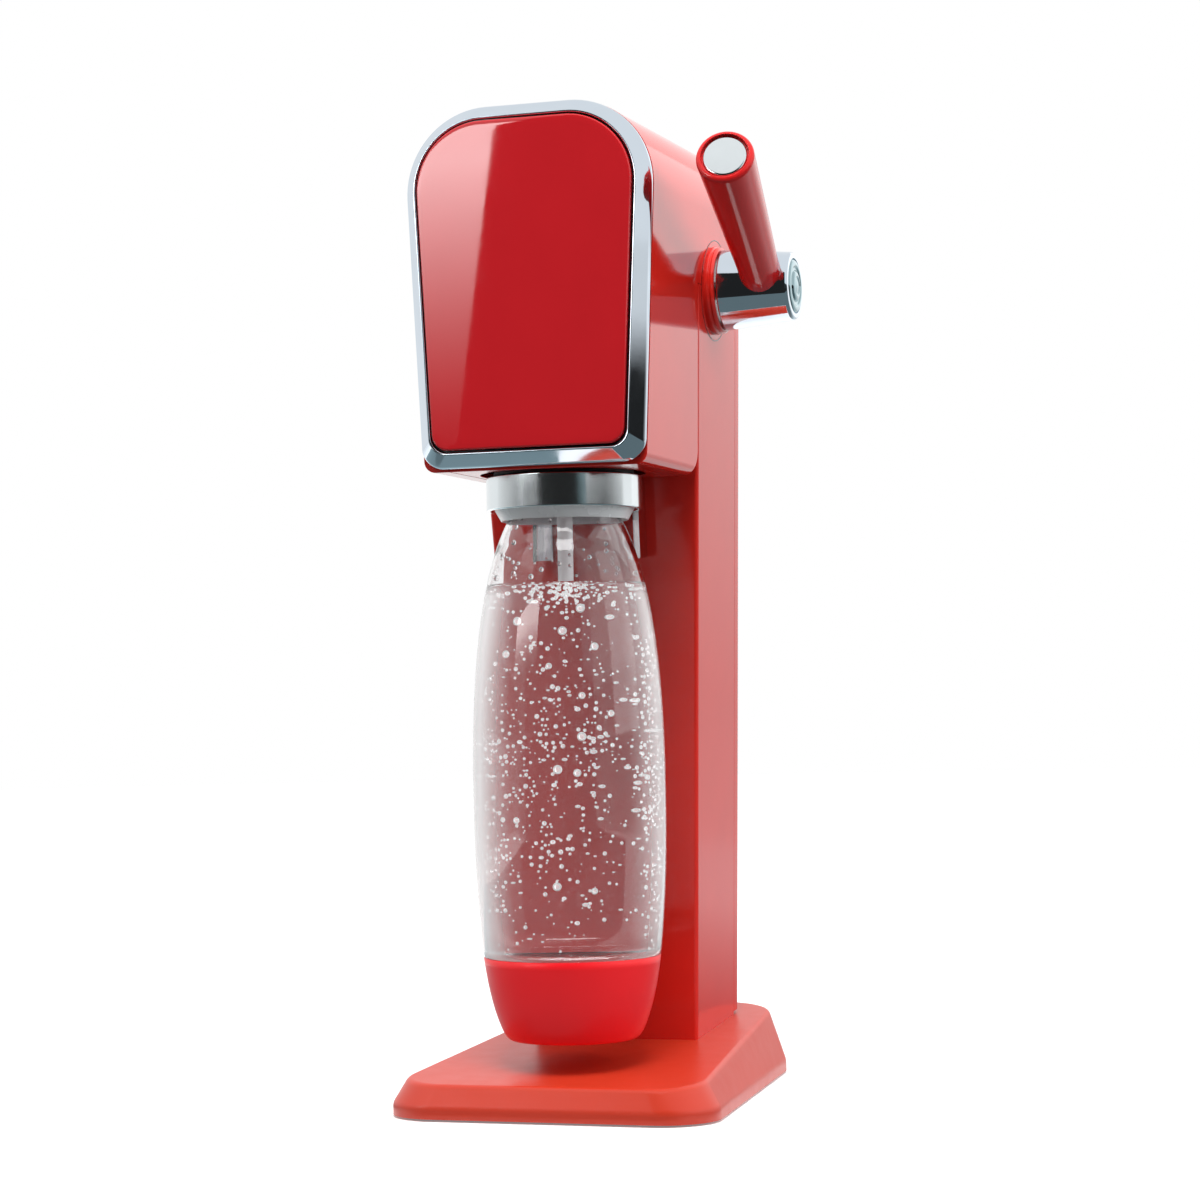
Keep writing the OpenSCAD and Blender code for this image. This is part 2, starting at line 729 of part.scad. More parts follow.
module hub_collar() {
    color("red") difference() {
        union() {
            translate([hub_face_x, hub_y, hub_z]) rotate([0, 90 + side_angle, 0])
                translate([0, 0, -2.4]) cylinder(r = escutcheon_r, h = 2.4);
            rod_x(escutcheon_boss_r, hub_face_x - 3, escutcheon_boss_x, hub_y, hub_z);
        }
        rod_x(9, -FAR / 2, FAR / 2, hub_y, hub_z);
    }
}

module axle_bushes() {
    color("tan") mirror_copy() difference() {
        union() {
            rod_x(bush_flange_r, plate_x[0] - 1.5, plate_x[0], hub_y, hub_z);
            rod_x(bush_r, plate_x[0] - EPS, plate_x[1] + 1, hub_y, hub_z);
        }
        rod_x(axle_r + running, -FAR / 2, FAR / 2, hub_y, hub_z);
    }
}

module lever_spring() {
    color("silver") translate([-34, hub_y, hub_z]) rotate([0, 90, 0]) coil_spring(6.6, 0.8, 8, 18);
}

module lever_axle() {
    color("silver") rod_x(axle_r, axle_x[0], axle_x[1], hub_y, hub_z);
}

module lever_cam() {
    color("dimgray") difference() {
        union() {
            rod_x(cam_r, -cam_half, cam_half, hub_y - cam_throw, hub_z);
            rod_x(axle_r + 2, -cam_half - 6, cam_half + 6, hub_y, hub_z);
        }
        rod_x(axle_r, -FAR / 2, FAR / 2, hub_y, hub_z);
    }
}

module axle_clip() {
    color("silver") difference() {
        rod_x(axle_r + 2.4, -45.6, -44.6, hub_y, hub_z);
        rod_x(axle_r, -FAR / 2, FAR / 2, hub_y, hub_z);
    }
}

// places children with z along the handle, from the lever's axis
module along_handle() {
    translate([handle_x, hub_y, hub_z]) rotate([90 - handle_rise, 0, 0])
        rotate([0, handle_splay, 0]) children();
}

module lever_hub() {
    rim = 1;
    color("lightsteelblue") difference() {
        translate([0, hub_y, hub_z]) rotate([0, 90, 0]) rotate_extrude() polygon([
            [0, hub_x[0]], [hub_r - 0.5, hub_x[0]], [hub_r, hub_x[0] + 0.5],
            [hub_end_r + 0.15, hub_x[1] - rim], [hub_end_r - rim, hub_x[1]], [12, hub_x[1]],
            [12, hub_x[1] - 2], [0, hub_x[1] - 2]]);
        rod_x(axle_r, hub_x[0] - 1, axle_x[1], hub_y, hub_z);
        along_handle() translate([0, 0, handle_seat]) cylinder(r = handle_r, h = 40);
    }
}

module hub_end_cap() {
    color("silver") translate([hub_x[1] - 2, hub_y, hub_z]) rotate([0, 90, 0]) rotate_extrude() polygon([
        [0, 0], [11.9, 0], [11.9, 1.6], [10.6, 2.6], [8.2, 2.6], [7.6, 2.0], [6.6, 2.0], [5.4, 3.0],
        [2.6, 3.5], [0, 3.6]]);
}

module lever_handle() {
    edge = 2;
    color("red") along_handle() difference() {
        rotate_extrude() polygon(concat(
            [[0, handle_seat], [handle_r, handle_seat], [handle_r, handle_straight]],
            arc(handle_end_r - edge, handle_len - edge, edge, 0, 90, 6), [[0, handle_len]]));
        translate([0, 0, handle_len - 1.6]) cylinder(r = handle_cap_r + handle_cap_gap, h = 3);
    }
}

module handle_end_cap() {
    color("silver") along_handle() translate([0, 0, handle_len - 1.6]) rotate_extrude() polygon([
        [0, 0], [handle_cap_r, 0], [handle_cap_r, 0.9], [handle_cap_r - 0.5, 1.3], [4, 1.55], [0, 1.6]]);
}

// ---- bottle holder ----

// a steel staple: two side flanges with narrow feet, joined by a bar behind the ring
bracket_screw_s = 262.5;

module holder_bracket() {
    bottom_s = 233;
    height = 34;
    half = 25;
    plate = 2;
    foot = 6;
    bar_s = 258;
    depth = 13;
    color("silver") in_column() difference() {
        union() {
            translate([-half, col_front_n - plate, bottom_s]) cube([2 * half, plate, height]);
            mirror_copy() translate([half - plate, col_front_n - depth, bottom_s])
                cube([plate, depth, height]);
        }
        translate([-half + foot, col_front_n - depth, bottom_s - 1])
            cube([2 * (half - foot), depth + 1, bar_s - bottom_s + 1]);
        mirror_copy() translate([12, col_front_n + 1, bracket_screw_s]) rotate([90, 0, 0])
            cylinder(r = screw_r + fit_gap, h = 10);
    }
}

module bracket_screws() {
    color("silver") in_column() mirror_copy()
        translate([12, col_front_n - 2, bracket_screw_s]) rotate([90, 0, 0]) {
            cylinder(r = screw_head_r, h = 1.6);
            translate([0, 0, -1.9]) cylinder(r = screw_r - screw_play, h = 1.9 + EPS);
        }
}

module bottle_ring() {
    bevel = 0.6;
    color("silver") on_bottle_axis() translate([0, 0, ring_z]) rotate_extrude() polygon([
        [holder_r, 1.5], [ring_r - 1.8, 0], [ring_r - bevel, 0], [ring_r, bevel],
        [ring_r, ring_h - bevel], [ring_r - bevel, ring_h], [holder_r, ring_h]]);
}

module ring_collar() {
    color("whitesmoke") on_bottle_axis() rotate_extrude() polygon([
        [25.8, 252.4], [27.2, 251.4], [holder_r - 0.05, 256.6], [holder_r - 0.05, holder_skirt_z - 0.05],
        [23, holder_skirt_z - 0.05]]);
}

module holder_body() {
    color("gainsboro") on_bottle_axis() difference() {
        rotate_extrude() polygon([
            [holder_r - holder_wall, holder_skirt_z], [holder_r, holder_skirt_z], [holder_r, holder_top_z],
            [nozzle_block_r, holder_top_z], [nozzle_block_r, holder_ceiling_z],
            [holder_r - holder_wall, holder_ceiling_z]]);
        rod_x(tilt_pin_r, -FAR / 2, FAR / 2, 0, tilt_z);
        translate([18, 0, holder_ceiling_z - 1]) cylinder(r = 3, h = 10);
    }
}

module tilt_pins() {
    color("silver") mirror_copy() rod_x(tilt_pin_r, holder_r - holder_wall, plate_x[1], bottle_y, tilt_z);
}

module nozzle_holder() {
    color("white") on_bottle_axis() difference() {
        union() {
            translate([0, 0, holder_ceiling_z]) cylinder(
                r = nozzle_block_r, h = nozzle_top_z - holder_ceiling_z);
            translate([0, 0, nozzle_top_z - EPS]) cylinder(r = 2.2, h = nipple_top_z - nozzle_top_z - 0.1);
        }
        translate([0, 0, holder_ceiling_z - 1]) cylinder(r = nozzle_r, h = 5);
        cylinder(r = nozzle_bore_r, h = FAR);
    }
}

module nozzle_tube() {
    color("whitesmoke") on_bottle_axis() difference() {
        translate([0, 0, nozzle_z]) cylinder(r = nozzle_r, h = holder_ceiling_z + 4 - nozzle_z);
        cylinder(r = nozzle_bore_r, h = FAR);
    }
}

module bottle_seal() {
    color("black") on_bottle_axis() translate([0, 0, holder_ceiling_z - seal_h]) difference() {
        cylinder(r = 15, h = seal_h);
        translate([0, 0, -1]) cylinder(r = 9, h = seal_h + 2);
    }
}

module relief_valve() {
    color("gold") on_bottle_axis() translate([18, 0, 0]) {
        translate([0, 0, holder_ceiling_z]) cylinder(r = 3, h = 6);
        translate([0, 0, holder_top_z]) cylinder(r = 5, h = 8);
        translate([0, 0, holder_top_z + 8 - EPS]) cylinder(r = 3, h = 3);
    }
}

// ---- bottle ----

// The bottle's outer outline: a belly between two gentle curves, closing to the neck.
function bezier(a, b, c, steps = 10) = [for (i = [0:steps]) let (t = i / steps)
    (1 - t) * (1 - t) * a + 2 * (1 - t) * t * b + t * t * c];
belly_r = 41.3;
belly_z = 130;
shoulder = bezier([belly_r, belly_z + 10], [belly_r, 205], [30.3, 238]);
neck = bezier([30.3, 238], [25.6, 252], [18.5, 262], 6);
lower = bezier([37.9, cup_z], [belly_r, 95], [belly_r, belly_z]);
foot = bezier([28, bottle_z], [35, 42], [37.9, cup_z], 8);

function inward(points, t) = [for (p = points) [p[0] - t, p[1]]];
function backwards(points) = [for (i = [len(points) - 1:-1:0]) points[i]];

module bottle_body() {
    foot_in = inward(foot, 2.2);
    outer = concat(foot_in, inward([[37.9, cup_z]], 2.2), [[37.9, cup_z + 0.1]], lower, shoulder, neck,
        [[15, 266], [14.2, 268], [14.2, 275], [15.5, 275.6], [15.5, 277], [14.2, 277.6], [14.2, mouth_z]]);
    inner = concat([[mouth_bore_r, mouth_z], [mouth_bore_r, 268]], backwards(inward(neck, 1.6)),
        backwards(inward(shoulder, bottle_wall)), backwards(inward(lower, bottle_wall)),
        backwards(inward(foot, 2.2 + bottle_wall)));
    color("aliceblue") on_bottle_axis() rotate_extrude() polygon(concat(
        [[0, bottle_z + bottle_floor]], [for (p = outer) [p[0], max(p[1], bottle_z + bottle_floor)]],
        [for (p = inner) [p[0], max(p[1], bottle_z + bottle_floor + 2)]],
        [[0, bottle_z + bottle_floor + 2]]));
}

module bottle_cup() {
    color("crimson") on_bottle_axis() rotate_extrude() polygon(concat(
        [[0, bottle_z], [25.5, bottle_z]], foot, [[37.9 - 2.1, cup_z]],
        backwards([for (p = inward(foot, 2.1)) [p[0], max(p[1], bottle_z + bottle_floor - 0.1)]]),
        [[0, bottle_z + bottle_floor - 0.1]]));
}

foot_ring();
base_bottom_plate();
base_shell();
base_screws();
column_shell();
column_screws();
cylinder_seat();
cylinder_body();
cylinder_valve();
cylinder_seal();
valve_pin();
pin_spring();
valve_block();
plunger();
plunger_spring();
valve_bracket();
rocker_pin();
rocker_arm();
gas_hose();
head_chassis();
chassis_screws();
head_shell();
head_underside();
bezel_frame();
panel_gasket();
front_panel();
hub_collar();
axle_bushes();
lever_spring();
lever_axle();
lever_cam();
axle_clip();
lever_hub();
hub_end_cap();
lever_handle();
handle_end_cap();
holder_bracket();
bracket_screws();
bottle_ring();
ring_collar();
holder_body();
tilt_pins();
nozzle_holder();
nozzle_tube();
bottle_seal();
relief_valve();
bottle_body();
bottle_cup();
rear_cover();
latch_button();
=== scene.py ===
"""The looks of the soda carbonator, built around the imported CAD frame.

Lengths in this script are in millimetres and become metres when a mesh is made. The frame's origin is the
centre of the base's footprint, +Z is up and the front panel faces -Y. Lights and the world are in metres.
"""

import functools
import json
import math
import random

import bmesh
import bpy
from mathutils import Matrix, Vector


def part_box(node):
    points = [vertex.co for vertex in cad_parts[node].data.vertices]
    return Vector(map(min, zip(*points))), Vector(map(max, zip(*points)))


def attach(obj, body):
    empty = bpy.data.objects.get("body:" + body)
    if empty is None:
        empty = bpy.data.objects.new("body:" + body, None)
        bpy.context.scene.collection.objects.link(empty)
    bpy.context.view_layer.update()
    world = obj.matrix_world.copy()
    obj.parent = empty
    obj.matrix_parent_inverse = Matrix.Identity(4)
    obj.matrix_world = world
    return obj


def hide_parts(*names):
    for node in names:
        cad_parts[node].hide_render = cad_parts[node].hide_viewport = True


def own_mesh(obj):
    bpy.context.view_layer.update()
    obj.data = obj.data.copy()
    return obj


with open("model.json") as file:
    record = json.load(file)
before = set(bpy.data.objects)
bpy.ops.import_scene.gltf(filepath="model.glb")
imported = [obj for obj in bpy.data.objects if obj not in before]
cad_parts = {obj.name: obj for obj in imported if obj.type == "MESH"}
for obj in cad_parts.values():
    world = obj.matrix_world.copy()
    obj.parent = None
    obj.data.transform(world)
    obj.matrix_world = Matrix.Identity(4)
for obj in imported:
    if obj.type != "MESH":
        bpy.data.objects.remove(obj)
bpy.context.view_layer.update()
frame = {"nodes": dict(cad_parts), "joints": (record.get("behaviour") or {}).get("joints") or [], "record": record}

MM = 0.001
SEED = 11
EDGE_ANGLE = 32
NORMAL_WEIGHT = 60


# ---- places and sizes, from the frame ----

@functools.lru_cache(maxsize=None)
def corners(node):
    """A node's lowest and highest corners."""
    return [Vector(c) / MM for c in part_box(node)]


def low(node):
    return corners(node)[0]


def high(node):
    return corners(node)[1]


def joint(name):
    return next(j for j in frame["joints"] if j["name"] == name)


def tan(degrees):
    return math.tan(math.radians(degrees))


def cos(degrees):
    return math.cos(math.radians(degrees))


def sin(degrees):
    return math.sin(math.radians(degrees))


FRONT_Y = low("base_shell").y
REAR_Y = high("base_shell").y
HUB_Y, HUB_Z = (Vector(joint("lever_turn")["pos_m"]) / MM).yz
BOTTLE_Y = ((low("bottle_cup") + high("bottle_cup")) / 2).y
HEAD_Z = low("head_shell").z
HEAD_TOP_Z = high("head_shell").z
SHELL_Y = low("head_shell").y
COLUMN_TOP_Z = high("column_shell").z
COLUMN_FRONT_Y = low("column_shell").y

RAKE = 4.9  # degrees that the column leans forward
FLARE = 0.0455  # what each side of the body gains in width for each millimetre of height
SIDE_ANGLE = math.degrees(math.atan(FLARE))
COLUMN_FOOT_Z = 8
COLUMN_HALF = 35.5
COLUMN_DEPTH = 2 * COLUMN_HALF / cos(RAKE)
COLUMN_OPENING_Z = 300
COVER_DEPTH = 9.8 / cos(RAKE)
COVER_GAP = 0.2
HEAD_GAP = 0.4
WALL = 2.5
BASE_SLOPE = 4.55
HEAD_FRONT_TOP_Z = 424.8
HEAD_TOP_R = 36
HEAD_EDGE_R = 5


def half(z):
    """Half of the body's width at height z."""
    return high("column_shell").x + (z - COLUMN_TOP_Z) * FLARE


def column_y(depth, z):
    """y of the leaning plane that lies depth behind the column's front, at height z."""
    return COLUMN_FRONT_Y + (COLUMN_TOP_Z - z) * tan(RAKE) + depth


# ---- meshes ----

def arc(cx, cy, r, a0, a1, steps=10):
    return [(cx + r * cos(a0 + (a1 - a0) * i / steps), cy + r * sin(a0 + (a1 - a0) * i / steps))
            for i in range(steps + 1)]


def mirrored(points):
    return points + [(-x, y) for x, y in reversed(points)]


def trapezoid(w0, w1, v0, v1, r0, r1, extra=(), steps=12):
    """A trapezoid with rounded corners, symmetric about x = 0: half-width w0 at v0 and w1 at v1."""
    m = (w1 - w0) / (v1 - v0)
    k = math.sqrt(1 + m * m)
    a = -math.degrees(math.atan(m))
    side = [(w0 + (v - v0) * m, v) for v in extra]
    return mirrored(arc(w0 + m * r0 - r0 * k, v0 + r0, r0, -90, a, steps) + side
                    + arc(w1 - m * r1 - r1 * k, v1 - r1, r1, a, 90, steps))


def soft(points, radius, steps=4, closed=True):
    """An outline with its corners rounded. radius is one number or one for each corner."""
    pts = [Vector(p) for p in points]
    out = []
    n = len(pts)
    for i, p in enumerate(pts):
        r = radius[i] if isinstance(radius, (list, tuple)) else radius
        if r <= 0 or (not closed and i in (0, n - 1)):
            out.append(p)
            continue
        a = pts[i - 1] - p
        b = pts[(i + 1) % n] - p
        d = min(r, a.length * 0.49, b.length * 0.49)
        start = p + a.normalized() * d
        end = p + b.normalized() * d
        for k in range(steps + 1):
            t = k / steps
            out.append(start * (1 - t) ** 2 + p * 2 * t * (1 - t) + end * t * t)
    return out


def bezier(a, b, c, steps=12):
    a, b, c = Vector(a), Vector(b), Vector(c)
    return [a * (1 - t) ** 2 + b * 2 * t * (1 - t) + c * t * t for t in [i / steps for i in range(steps + 1)]]


def skin(rows, around=True, start_cap=False, end_cap=False, keep=None):
    """A bmesh of quads between rows of points in millimetres. around joins each row's ends."""
    bm = bmesh.new()
    grid = [[bm.verts.new(Vector(p) * MM) for p in row] for row in rows]
    n = len(rows[0])
    for j in range(len(rows) - 1):
        for i in range(n if around else n - 1):
            if keep and not keep(rows, j, i):
                continue
            k = (i + 1) % n
            bm.faces.new((grid[j][i], grid[j][k], grid[j + 1][k], grid[j + 1][i]))
    if start_cap:
        bm.faces.new(list(reversed(grid[0])))
    if end_cap:
        bm.faces.new(grid[-1])
    bmesh.ops.remove_doubles(bm, verts=bm.verts, dist=0.002 * MM)
    bmesh.ops.dissolve_degenerate(bm, edges=bm.edges, dist=0.001 * MM)
    loose = [v for v in bm.verts if not v.link_faces]
    bmesh.ops.delete(bm, geom=loose, context="VERTS")
    return bm


def block(outline, z0, z1):
    """A closed form with an (x, y) outline between two heights."""
    return skin([[(x, y, z) for x, y in outline] for z in (z0, z1)], start_cap=True, end_cap=True)


def lathe(profile, where=Matrix.Identity(4), segments=128):
    """A profile of (radius, height) turned about the local Z axis. Open ends lie on the axis."""
    rows = [[where @ Vector((r * cos(360 * i / segments), r * sin(360 * i / segments), h))
             for i in range(segments)] for r, h in profile]
    closed = profile[0][0] > 0.001 or profile[-1][0] > 0.001
    bm = skin(rows + [rows[0]] if closed else rows)
    bmesh.ops.recalc_face_normals(bm, faces=bm.faces)
    return bm


def link_mesh(name, mesh):
    obj = bpy.data.objects.new(name, mesh)
    bpy.context.scene.collection.objects.link(obj)
    return obj


def thicken(obj, thickness):
    """A wall of a thickness, inside the skin."""
    shell = obj.modifiers.new("wall", "SOLIDIFY")
    shell.thickness = thickness * MM
    shell.offset = -1
    shell.use_even_offset = True


def round_edges(obj, width, angle=EDGE_ANGLE):
    edge = obj.modifiers.new("edges", "BEVEL")
    edge.width = width * MM
    edge.segments = 2
    edge.limit_method = "ANGLE"
    edge.angle_limit = math.radians(angle)
    return edge


def even_normals(obj, keep_sharp=False):
    normals = obj.modifiers.new("normals", "WEIGHTED_NORMAL")
    normals.weight = NORMAL_WEIGHT
    normals.keep_sharp = keep_sharp


def make(name, bm, bevel=0.0, solid=0.0, recalc=True):
    """An object from a bmesh, with its wall and its small rounded edges as modifiers."""
    if recalc:
        bmesh.ops.recalc_face_normals(bm, faces=bm.faces)
    mesh = bpy.data.meshes.new(name)
    bm.to_mesh(mesh)
    bm.free()
    mesh.shade_smooth()
    obj = link_mesh(name, mesh)
    if solid:
        thicken(obj, solid)
    if bevel:
        round_edges(obj, bevel).miter_outer = "MITER_ARC"
    even_normals(obj)
    return obj


def applied(obj):
    """The object's modifiers made part of its mesh."""
    graph = bpy.context.evaluated_depsgraph_get()
    mesh = bpy.data.meshes.new_from_object(obj.evaluated_get(graph))
    obj.modifiers.clear()
    old = obj.data
    obj.data = mesh
    bpy.data.meshes.remove(old)


def cut(obj, bm):
    """Takes a closed form out of an object."""
    tool = make("cutter", bm)
    tool.modifiers.clear()
    obj.modifiers.clear()
    hole = obj.modifiers.new("hole", "BOOLEAN")
    hole.object = tool
    hole.solver = "EXACT"
    applied(obj)
    bpy.data.objects.remove(tool)


def finish_piece(obj, body, slot, material, *nodes):
    """Gives a piece its material and body, and hides the CAD nodes that it replaces. slot is not used."""
    obj.data.materials.clear()
    obj.data.materials.append(material)
    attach(obj, body)
    if nodes:
        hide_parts(*nodes)
    return obj


def on_bottle():
    return Matrix.Translation((0, BOTTLE_Y, 0))


def along_x(x=0.0):
    """Local Z runs along +X from the lever's axis."""
    return Matrix.Translation((x, HUB_Y, HUB_Z)) @ Matrix.Rotation(math.radians(90), 4, "Y")


# ---- materials ----

PATCH_SCALE = 45
GRAIN_DEPTH = 0.05


def new_material(name):
    mat = bpy.data.materials.new(name)
    mat.use_nodes = True
    tree = mat.node_tree
    return mat, tree, tree.nodes["Principled BSDF"]


def node(tree, kind, **values):
    n = tree.nodes.new(kind)
    for key, value in values.items():
        if key.startswith("set_"):
            setattr(n, key[4:], value)
        else:
            n.inputs[key.replace("_", " ")].default_value = value
    return n


def noise(tree, scale, detail=3.0, stretch=(1, 1, 1)):
    """Noise in the object's own coordinates. scale is in features to the metre."""
    place = tree.nodes.new("ShaderNodeTexCoord")
    mapping = node(tree, "ShaderNodeMapping", Scale=stretch)
    tree.links.new(place.outputs["Object"], mapping.inputs["Vector"])
    n = node(tree, "ShaderNodeTexNoise", Scale=scale, Detail=detail)
    tree.links.new(mapping.outputs["Vector"], n.inputs["Vector"])
    return n.outputs["Fac"]


def ranged(tree, source, low_value, high_value, start=0.3, end=0.7):
    n = node(tree, "ShaderNodeMapRange", From_Min=start, From_Max=end, To_Min=low_value, To_Max=high_value)
    tree.links.new(source, n.inputs["Value"])
    return n.outputs["Result"]


def two_tone(tree, source, a, b):
    n = node(tree, "ShaderNodeMix", set_data_type="RGBA")
    colours = [s for s in n.inputs if s.type == "RGBA"]
    colours[0].default_value = (*a, 1)
    colours[1].default_value = (*b, 1)
    tree.links.new(ranged(tree, source, 0, 1), n.inputs["Factor"])
    return next(s for s in n.outputs if s.type == "RGBA")


def bump(tree, shader, source, strength, depth):
    n = node(tree, "ShaderNodeBump", Strength=strength, Distance=depth * MM)
    tree.links.new(source, n.inputs["Height"])
    tree.links.new(n.outputs["Normal"], shader.inputs["Normal"])


def surface(name, colour, rough, spread, mottle, grain, grain_scale, metal=0.0, stretch=(1, 1, 1),
            ior=1.5, specular=0.5, transmission=0.0):
    """A moulded, painted or metal surface with slight colour and gloss variation and a fine grain.

    spread is how far the roughness varies, mottle is the share by which the colour varies, and grain is the
    strength of a bump of grain_scale features to the metre.
    """
    mat, tree, shader = new_material(name)
    patches = noise(tree, PATCH_SCALE)
    darker = tuple(c * (1 - mottle) for c in colour)
    lighter = tuple(min(1, c * (1 + mottle)) for c in colour)
    tree.links.new(two_tone(tree, patches, darker, lighter), shader.inputs["Base Color"])
    fine = noise(tree, grain_scale, 2.0, stretch)
    smudge = noise(tree, PATCH_SCALE * 2.3, 4.0)
    tree.links.new(ranged(tree, smudge, rough - spread, rough + spread), shader.inputs["Roughness"])
    bump(tree, shader, fine, grain, GRAIN_DEPTH)
    shader.inputs["Metallic"].default_value = metal
    shader.inputs["IOR"].default_value = ior
    shader.inputs["Specular IOR Level"].default_value = specular
    shader.inputs["Transmission Weight"].default_value = transmission
    return mat


MATERIALS = {
    "red_panel": surface("red_panel", (0.52, 0.0135, 0.0190), 0.022, 0.008, 0.02, 0.012, 240, ior=1.58),
    "red_body": surface("red_body", (0.66, 0.024, 0.016), 0.13, 0.02, 0.02, 0.04, 900, ior=1.48),
    "red_gloss": surface("red_gloss", (0.66, 0.024, 0.016), 0.07, 0.02, 0.02, 0.03, 700, ior=1.6),
    "red_handle": surface("red_handle", (0.62, 0.0150, 0.0160), 0.12, 0.02, 0.03, 0.04, 900, specular=0.36),
    "red_base": surface("red_base", (0.52, 0.034, 0.0130), 0.36, 0.02, 0.015, 0.16, 3200),
    "red_cup": surface("red_cup", (0.84, 0.0100, 0.0165), 0.34, 0.03, 0.02, 0.05, 1800, specular=0.36),
    "chrome_trim": surface("chrome_trim", (0.62, 0.69, 0.76), 0.05, 0.02, 0.02, 0.015, 500, metal=1),
    # a darker, teal-tinted chrome for the hub's end cap: its teal is a painted reflection, and its darkness sets
    # the cap apart from the hub
    "dark_chrome_painted_teal": surface("dark_chrome_painted_teal", (0.32, 0.44, 0.47), 0.06, 0.02, 0.02, 0.015, 500, metal=1),
    "silver_metal": surface("silver_metal", (0.74, 0.79, 0.81), 0.15, 0.02, 0.03, 0.04, 60, metal=1,
                            stretch=(1, 1, 70)),
    "steel": surface("steel", (0.62, 0.63, 0.64), 0.28, 0.05, 0.06, 0.12, 700, metal=1),
    "brass": surface("brass", (0.72, 0.52, 0.22), 0.24, 0.05, 0.06, 0.10, 700, metal=1),
    "cylinder_paint": surface("cylinder_paint", (0.72, 0.42, 0.46), 0.30, 0.05, 0.04, 0.12, 900),
    "black_rubber": surface("black_rubber", (0.018, 0.018, 0.019), 0.75, 0.08, 0.15, 0.35, 1800),
    "dark_plastic": surface("dark_plastic", (0.045, 0.046, 0.050), 0.50, 0.06, 0.10, 0.25, 1600),
    "black_gloss": surface("black_gloss", (0.004, 0.004, 0.006), 0.08, 0.02, 0.10, 0.02, 300),
    "white_plastic": surface("white_plastic", (0.84, 0.85, 0.86), 0.28, 0.04, 0.02, 0.06, 1200),
    "milky_plastic": surface("milky_plastic", (0.90, 0.93, 0.95), 0.26, 0.04, 0.03, 0.06, 900,
                             transmission=0.1),
}


def rim(tree, start, end, centre_value, edge_value):
    """A value that changes towards a rounded form's edges."""
    edge = node(tree, "ShaderNodeLayerWeight", Blend=0.5)
    return ranged(tree, edge.outputs["Facing"], centre_value, edge_value, start, end)


def product(tree, a, b):
    n = node(tree, "ShaderNodeMath", set_operation="MULTIPLY")
    tree.links.new(a, n.inputs[0])
    tree.links.new(b, n.inputs[1])
    return n.outputs["Value"]


def along(tree, axis):
    """The object's own X, Y or Z."""
    place = tree.nodes.new("ShaderNodeTexCoord")
    split = tree.nodes.new("ShaderNodeSeparateXYZ")
    tree.links.new(place.outputs["Object"], split.inputs["Vector"])
    return split.outputs[axis]


def clear(name, colour, ior, rough, ripple=0.0, painted_edges=None, emission=0.0):
    """Clear plastic or water with faint waves in its surface. The optional node output sets how white and opaque
    it turns at its edges, which is painted light, and emission is a painted glow.
    """
    mat, tree, shader = new_material(name)
    shader.inputs["IOR"].default_value = ior
    shader.inputs["Emission Color"].default_value = (1, 1, 1, 1)
    shader.inputs["Emission Strength"].default_value = emission
    shader.inputs["Transmission Weight"].default_value = 1
    # painted light: the edges turn white and opaque where this node output lowers the transmission
    if painted_edges:
        tree.links.new(painted_edges(tree), shader.inputs["Transmission Weight"])
    tint = two_tone(tree, noise(tree, 30), colour, tuple(c * 0.985 for c in colour))
    tree.links.new(tint, shader.inputs["Base Color"])
    tree.links.new(ranged(tree, noise(tree, 90), rough * 0.6, rough * 1.4), shader.inputs["Roughness"])
    if ripple:
        bump(tree, shader, noise(tree, 60), ripple, 0.3)
    return mat


def bottle_painted_edges(tree):
    """White, opaque edges below the water's surface and a faint haze, clear above it. The white is painted light:
    it stands in for the bright backdrop seen through the bottle's edges.
    """
    wet = ranged(tree, along(tree, "Z"), 1, 0, 0.219, 0.226)
    # the painted white fades to 0.55 of its strength from x = 0 to x = 30 mm, so the right side is less white
    left = ranged(tree, along(tree, "X"), 1, 0.55, 0, 0.03)
    painted_white = product(tree, product(tree, wet, left), rim(tree, 0.22, 0.62, 0.001, 0.80))
    n = node(tree, "ShaderNodeMath", set_operation="SUBTRACT")
    n.inputs[0].default_value = 0.999
    tree.links.new(painted_white, n.inputs[1])
    return n.outputs["Value"]


def bubble_painted_rims(tree):
    # painted white rims on each bubble, standing in for the bright ring of light that a bubble reflects
    return rim(tree, 0.25, 0.7, 0.8, 0.0)


# the bottle's white edges are painted light, standing in for the bright backdrop seen through them
MATERIALS["clear_bottle"] = clear("clear_bottle", (0.99, 0.985, 0.99), 1.5, 0.015, 0.04, bottle_painted_edges)
MATERIALS["water"] = clear("water", (0.995, 0.99, 0.995), 1.333, 0.004)
# the bubbles' white rims and their even glow of 0.22 are painted light
MATERIALS["bubble"] = clear("bubble", (0.98, 0.98, 0.98), 1.333, 0.03, painted_edges=bubble_painted_rims, emission=0.22)


# ---- camera ----

def camera():
    """At the photograph's viewing angle: to the right of the front and a little above the base."""
    place = Vector((397.61, -1255.36, 170.58)) * MM
    turn, rise, roll = 0.3088, 0.037, -0.0182
    sensor, focal_pixels, image_pixels = 36, 2941.7, 1200
    ahead = Vector((-math.sin(turn) * math.cos(rise), math.cos(turn) * math.cos(rise), math.sin(rise)))
    right = Vector((math.cos(turn), math.sin(turn), 0))
    up = right.cross(ahead)
    x = math.cos(roll) * right + math.sin(roll) * up
    y = math.cos(roll) * up - math.sin(roll) * right
    data = bpy.data.cameras.new("camera")
    data.sensor_width = sensor
    data.lens = sensor * focal_pixels / image_pixels
    data.clip_start, data.clip_end = 0.01, 50
    obj = bpy.data.objects.new("camera", data)
    obj.matrix_world = Matrix.Translation(place) @ Matrix((x, y, -ahead)).transposed().to_4x4()
    bpy.context.scene.collection.objects.link(obj)
    bpy.context.scene.camera = obj


